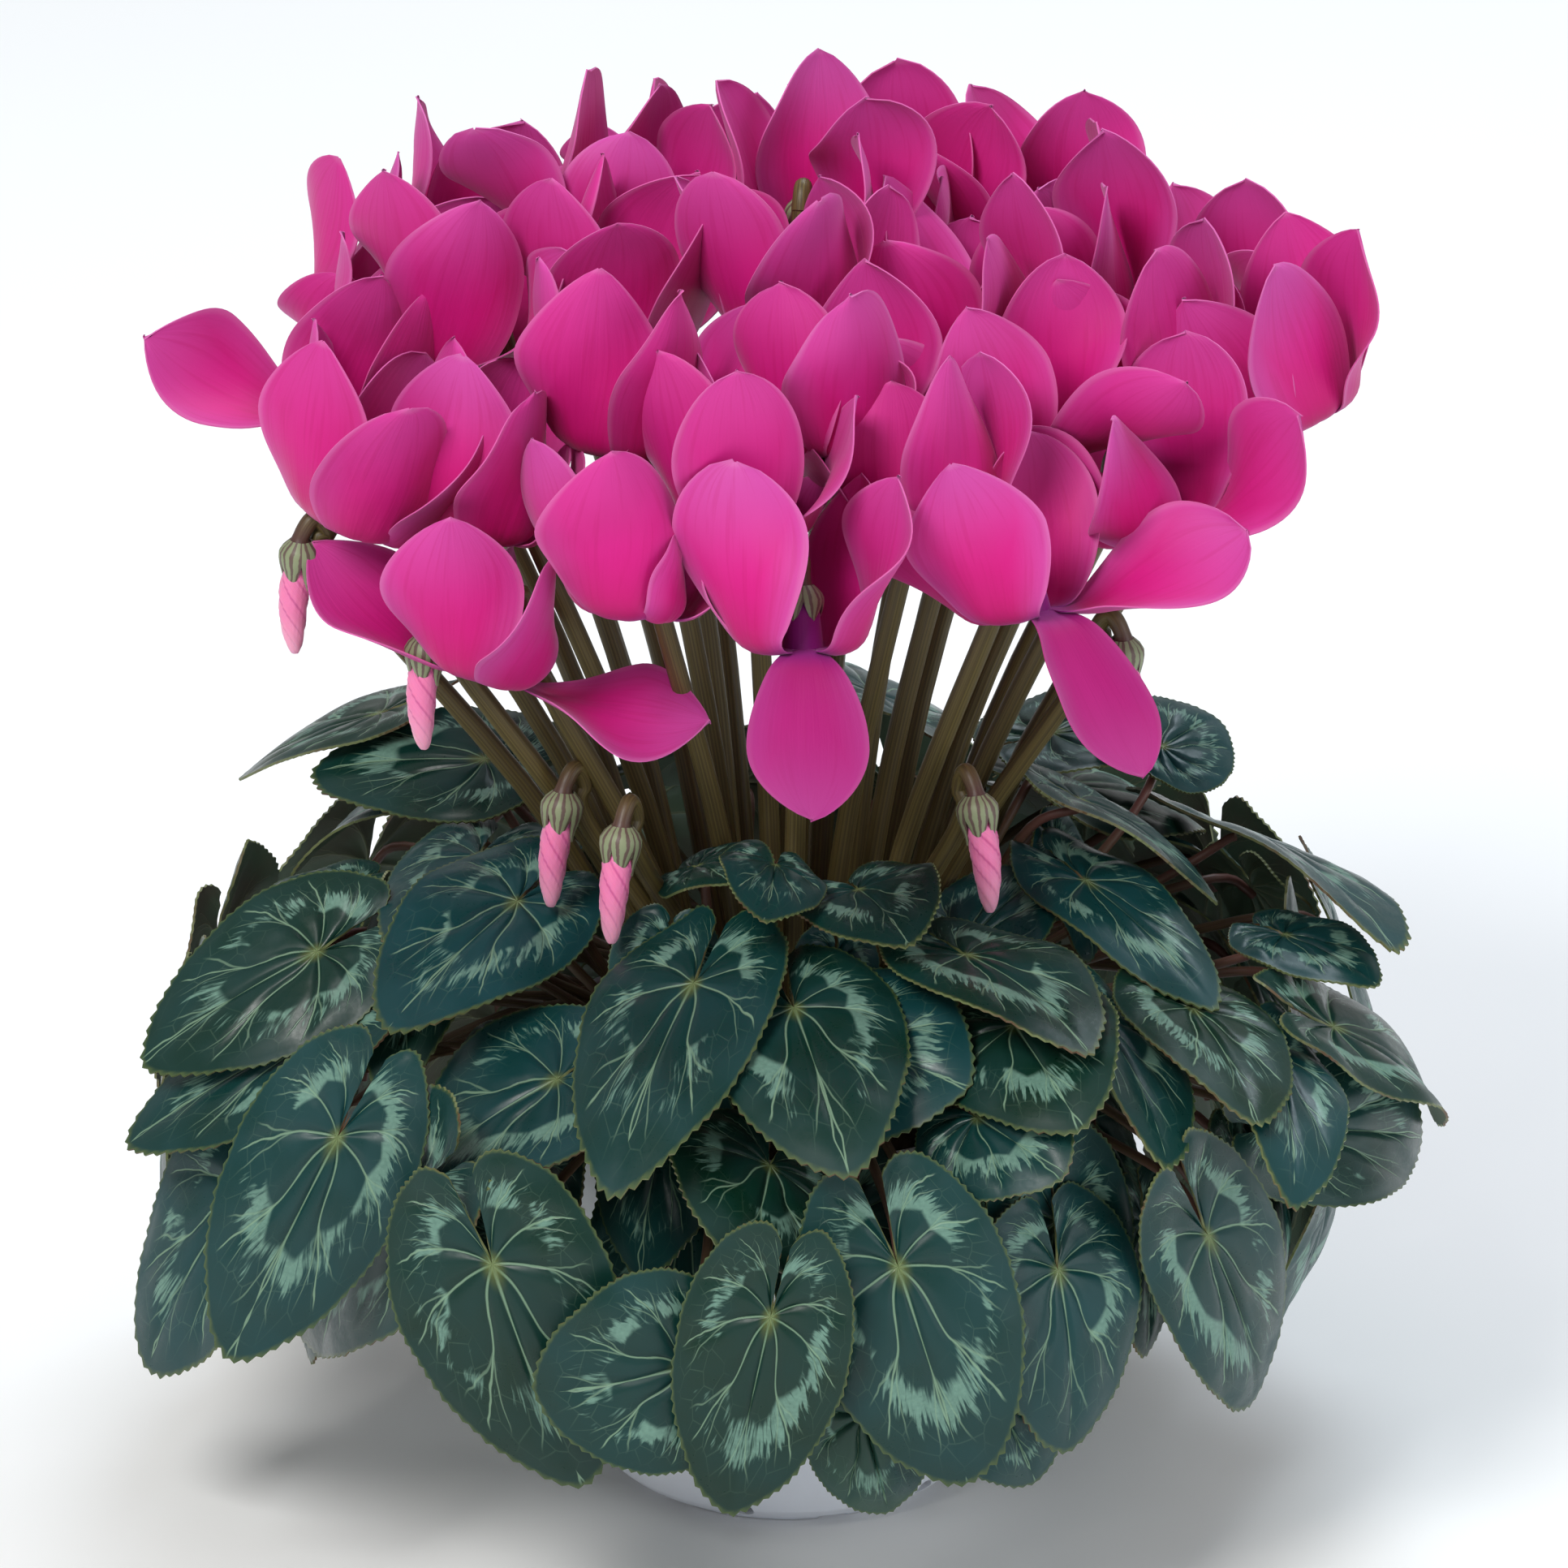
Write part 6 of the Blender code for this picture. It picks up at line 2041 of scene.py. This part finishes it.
    def place(self, clearance: Clearance) -> None:
        """Draws the leaves and bends each one clear of what is there already, the lowest first."""
        rng = np.random.default_rng(LEAF_SEED + 2)
        self.leaves = self.front(rng) + self.back(rng)
        self.share_feet()
        rng = np.random.default_rng(LEAF_SEED + 1)
        group_of = {i: g for g, members in enumerate(self.members) for i in members}
        for i in sorted(range(len(self.leaves)), key=lambda i: self.leaves[i].base[2]):
            choices = self.blade_choices(rng, *self.blade_tries)
            if self.settle(self.leaves[i], f"petiole_{group_of[i]}", clearance, choices, rng):
                self.kept.append(i)

    def settle(
        self, leaf: Leaf, kin: str, clearance: Clearance, choices: Iterator[Choice], rng: np.random.Generator
    ) -> bool:
        """Bends one leaf clear of what is placed already.

        Args:
            leaf: The leaf, whose bends are set.
            kin: Label of the petioles that share its foot.
            clearance: What is placed already, which the leaf joins.
            choices: Settings to try.
            rng: Source of the draws.

        Returns:
            Whether a clear place was found.
        """
        for leaf.push, leaf.roll, leaf.lift, leaf.slide, leaf.shrink in choices:
            grid = leaf.surface(self.angles(leaf, self.test_spokes), self.test_shares)
            blade = clearance.tree(*sheet_shell(grid, self.thickness / 2.0 + CLEARANCE))
            if clearance.crosses(blade):
                continue
            sleeve = self.clear_route(leaf, blade, kin, clearance, rng)
            if sleeve is not None:
                clearance.add("blade", blade)
                clearance.add(kin, sleeve)
                return True
        return False

    def fill(self, clearance: Clearance) -> None:
        """Hangs further small leaves in the room that is left, each from the nearest foot."""
        rng = np.random.default_rng(LEAF_SEED + 3)
        feet = [self.leaves[members[0]].foot for members in self.members]
        for top, reach, drop, count in self.fill_rows:
            for k in range(count):
                azimuth = math.radians(-90.0 + 360.0 * (k + self.fill_turn) / count)
                out = polar(1.0, azimuth)
                if top < self.low_row and out[1] < self.foot_shows:
                    continue
                base = polar(reach, azimuth, top)
                tip = polar(reach + 13.0, azimuth, top - drop)
                leaf = Leaf(base, tip, drop * 1.12, unit(out + UP * 0.4), rng)
                group = max(range(len(feet)), key=lambda g: float(feet[g].dot(out)))
                leaf.foot, leaf.seat = feet[group], rng.uniform(-1.0, 1.0)
                choices = self.blade_choices(rng, *self.fill_tries)
                if self.settle(leaf, f"petiole_{group}", clearance, choices, rng):
                    self.extra.setdefault(group, []).append(leaf)
        log.info("Further leaves: %d", sum(len(group) for group in self.extra.values()))

    def relief(self, theta: np.ndarray, share: np.ndarray, length: float, quilt: float) -> np.ndarray:
        """Rise of the blade between its veins, and its sunk veins, as a share of the length."""
        ahead = VEIN_START * smooth((1.25 - np.abs(theta)) / 0.9) * smooth((share - 0.1) / 0.35)
        turned = np.abs(np.arctan2(share * np.sin(theta), share * np.cos(theta) - ahead))
        fan = turned / (VEIN_SPREAD * (1.0 - VEIN_CURL * share**1.5))
        off = np.abs((fan + 0.5) % 1.0 - 0.5)
        side = off * VEIN_SPREAD * share
        puff = smooth(off / 0.4) * smooth(share * 3.0) * smooth((1.0 - share) * 4.0)
        puff = puff * (0.75 + 0.25 * np.cos(share * 17.0 + fan * 2.1))
        groove = np.exp(-((side / 0.022) ** 2)) * smooth((1.0 - share) * 6.0) * smooth(share * 8.0)
        droop = -0.9 * smooth((share - 0.86) / 0.14)
        return (quilt * (puff - 0.6 * groove) + 0.6 * droop) / length

    def blade(self, leaf: Leaf, pattern: SheetPattern, rng: np.random.Generator) -> Object:
        """One fine blade with its teeth, veins and quilting."""
        theta = -np.array(self.angles(leaf, self.teeth * 2))
        share = np.array(self.fine_shares)
        tooth = np.where(np.arange(len(theta)) % 2 == 1, 1.0, -1.0) * rng.uniform(0.55, 1.3, len(theta))
        drift = 0.006 * np.sin(theta * 9.0 + leaf.phase) + 0.004 * np.sin(theta * 17.0 + 2.0 * leaf.phase)
        teeth = (tooth * self.tooth_depth)[None, :] * (share[:, None] == 1.0)
        edge = teeth + drift[None, :] * share[:, None] ** 3
        if leaf in self.leaves:
            size = self.fine_low if leaf.tip[2] < self.low_tip else self.fine_size
            leaf.shrink = max(leaf.shrink, self.fine_least) * size
        length = leaf.frame()[4]
        quilt = self.quilt * (1.6 if leaf.base[2] < 90.0 else 1.0)
        relief = self.relief(theta[None, :], share[:, None], length, quilt)
        points = leaf.surface(theta, share, edge, relief)
        uv = np.stack([share[:, None] * np.cos(theta), share[:, None] * np.sin(theta)], axis=-1)
        sheet = pattern.shaped("blade", points, uv)
        weld_sheet(sheet, WELD_SEAM)
        low = float(smooth((92.0 - leaf.base[2]) / 40.0))
        mark(sheet, "leaf_tint", (rng.uniform(), low * rng.uniform(0.1, 1.0), rng.uniform()))
        return sheet

    def stalk(self, leaf: Leaf) -> Object:
        """The petiole of a leaf, sunk into its foot and under its blade."""
        out = leaf.frame()[3]
        path = curve_through(list(leaf.petiole()), 7)
        path[-1] -= out * 0.9
        radii = np.linspace(self.petiole_radius * 1.15, self.petiole_tip_radius, len(path))
        return stem("petiole", path, radii, 10, "stem_map")

    def foot(self, members: list[int]) -> Object:
        """The low rounded foot that a group of petioles grows from."""
        at = self.leaves[members[0]].foot
        half = FOOT_SPACING * 0.5 * (len(members) - 1) + self.petiole_radius + 0.3
        deselect_all()
        bpy.ops.mesh.primitive_cube_add(size=1.0)
        foot = bpy.context.active_object
        size = Matrix.Diagonal((self.foot_half_depth * 2.0, half * 2.0, self.foot_half_height * 2.0, 1.0))
        turn = Matrix.Rotation(math.atan2(at[1], at[0]), 4, "Z")
        foot.data.transform(Matrix.Scale(MM, 4) @ Matrix.Translation(Vector(at)) @ turn @ size)
        bevel = foot.modifiers.new("Round", "BEVEL")
        bevel.width = 1.2 * MM
        bevel.segments = 4
        apply_modifiers(foot)
        return foot

    def build(self, finishes: Sequence[Material]) -> None:
        """Builds and dresses the leaves.

        Args:
            finishes: Materials of the upper face, under face, edge and stem, in that order.
        """
        rng = np.random.default_rng(TINT_SEED + 1)
        pattern = SheetPattern(len(self.fine_shares), self.teeth * 2 + 1, "leaf_map")
        for finish in finishes:
            pattern.pattern.data.materials.append(finish)
        for g, members in enumerate(self.members):
            own = [self.leaves[i] for i in members if i in self.kept] + self.extra.get(g, [])
            blades = joined("blades", [self.blade(leaf, pattern, rng) for leaf in own])
            thicken(blades, self.fine_thickness, Face.UNDER.value, Face.EDGE.value)
            stems = joined("stems", [self.foot(members), *(self.stalk(leaf) for leaf in own)])
            for finish in finishes:
                stems.data.materials.append(finish)
            stems.data.polygons.foreach_set("material_index", [Face.STEM.value] * len(stems.data.polygons))
            group = joined(f"Leaves_{g + 1:02d}", [blades, stems])
            shade_round(group, 50.0)
            declare(group, Slot.LEAF, f"leaves_{g + 1:02d}")
        pattern.remove()


@dataclass
class Studio:
    """Pale floor, soft lights and the camera, which looks down at the plant's front from a little above."""

    tilt: float = VIEW_TILT
    view_width: float = 402.5
    view_across: float = -0.8
    view_up: float = 174.8
    distance: float = 4000.0
    sensor: float = 36.0
    floor_size: float = 12.0

    def lamp(self, name: str, place: Vector, size: float, power: float, colour: Colour) -> None:
        """A large soft light that looks at the middle of the plant.

        Args:
            name: Name of the light.
            place: Where it stands, in metres.
            size: Side of its square, in metres.
            power: Power in watts.
            colour: Colour of its light.
        """
        data = bpy.data.lights.new(name, "AREA")
        data.size = size
        data.energy = power
        data.color = colour
        light = bpy.data.objects.new(name, data)
        light.location = place
        light.rotation_euler = (Vector((0.0, 0.0, 0.2)) - place).to_track_quat("-Z", "Y").to_euler()
        bpy.context.scene.collection.objects.link(light)

    def floor(self) -> None:
        """A plain pale floor."""
        deselect_all()
        bpy.ops.mesh.primitive_plane_add(size=self.floor_size, location=(0.0, 0.0, -0.0002))
        floor = bpy.context.active_object
        floor.name = "Floor"
        material, w, shader = new_material("floor_pale")
        shade = w.noise(w.spot(), 3.0, 2.0)
        w.feed(shader.inputs["Base Color"], w.mixed(shade, (0.90, 0.90, 0.89), (0.93, 0.93, 0.93)))
        set_sockets(shader, Roughness=0.9)
        floor.data.materials.append(material)

    def camera(self) -> None:
        """The camera, far off with a long lens, so that the plant is drawn as the photograph draws it."""
        data = bpy.data.cameras.new("Camera")
        data.sensor_width = self.sensor
        data.lens = self.sensor * self.distance / self.view_width
        data.clip_end = 50.0
        camera = bpy.data.objects.new("Camera", data)
        target = Vector((self.view_across, 0.0, self.view_up / math.cos(self.tilt))) * MM
        sight = Vector((0.0, math.cos(self.tilt), -math.sin(self.tilt)))
        camera.location = target - sight * self.distance * MM
        camera.rotation_euler = (math.pi / 2.0 - self.tilt, 0.0, 0.0)
        bpy.context.scene.collection.objects.link(camera)
        bpy.context.scene.camera = camera

    def sky(self) -> None:
        """Even light from all round."""
        world = bpy.data.worlds.new("Studio")
        world.use_nodes = True
        back = world.node_tree.nodes["Background"]
        back.inputs["Color"].default_value = (1.0, 1.0, 1.0, 1.0)
        back.inputs["Strength"].default_value = 0.45
        bpy.context.scene.world = world

    def build(self) -> None:
        """Sets up floor, camera and lights."""
        self.floor()
        self.camera()
        self.sky()
        self.lamp("Key", Vector((-0.9, -1.5, 2.0)), 0.9, 42.0, (1.0, 0.985, 0.96))
        self.lamp("Fill", Vector((1.7, -1.1, 0.9)), 1.4, 12.0, (0.90, 0.95, 1.0))
        self.lamp("Top", Vector((0.4, 0.9, 1.8)), 1.0, 20.0, (0.80, 0.90, 1.0))
        bpy.context.scene.view_settings.view_transform = "Standard"


def main() -> None:
    """Builds the dressed plant in order and reports each piece."""
    logging.basicConfig(level=logging.INFO, format="%(message)s")
    Studio().build()
    marking = LeafMarking().make()
    stem_skin = StemSkin().make()
    veining = PetalVeining().make()

    pot = NurseryPot()
    pot.build(PotFinish().make())
    ground = Ground(pot)
    ground.build_compost(PEAT.make())
    ground.build_corm(CORM_SKIN.make())

    clearance = Clearance()
    pot.keep_clear(clearance)
    stalks = FlowerStalks()
    stalks.place()
    stalks.keep_clear(clearance)
    buds = Buds(stalks)
    buds.keep_clear(clearance)
    foliage = Foliage(FoliageDome())
    foliage.place(clearance)
    blooms = Blooms()
    blooms.place(stalks.flowers[: len(BLOOMS)], clearance)
    foliage.fill(clearance)

    stalks.build(STALK_SKIN.make(stem_skin), SepalFinish().make())
    buds.build(BudFinish().make(veining))
    blooms.build(stalks.flowers[: len(BLOOMS)], PetalFinish().make(veining))
    upper, under = LeafUpperFinish().make(marking), LeafUnderFinish().make(marking)
    foliage.build([upper, under, LeafEdgeFinish().make(), PETIOLE_SKIN.make(stem_skin)])

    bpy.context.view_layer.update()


if __name__ == "__main__":
    main()
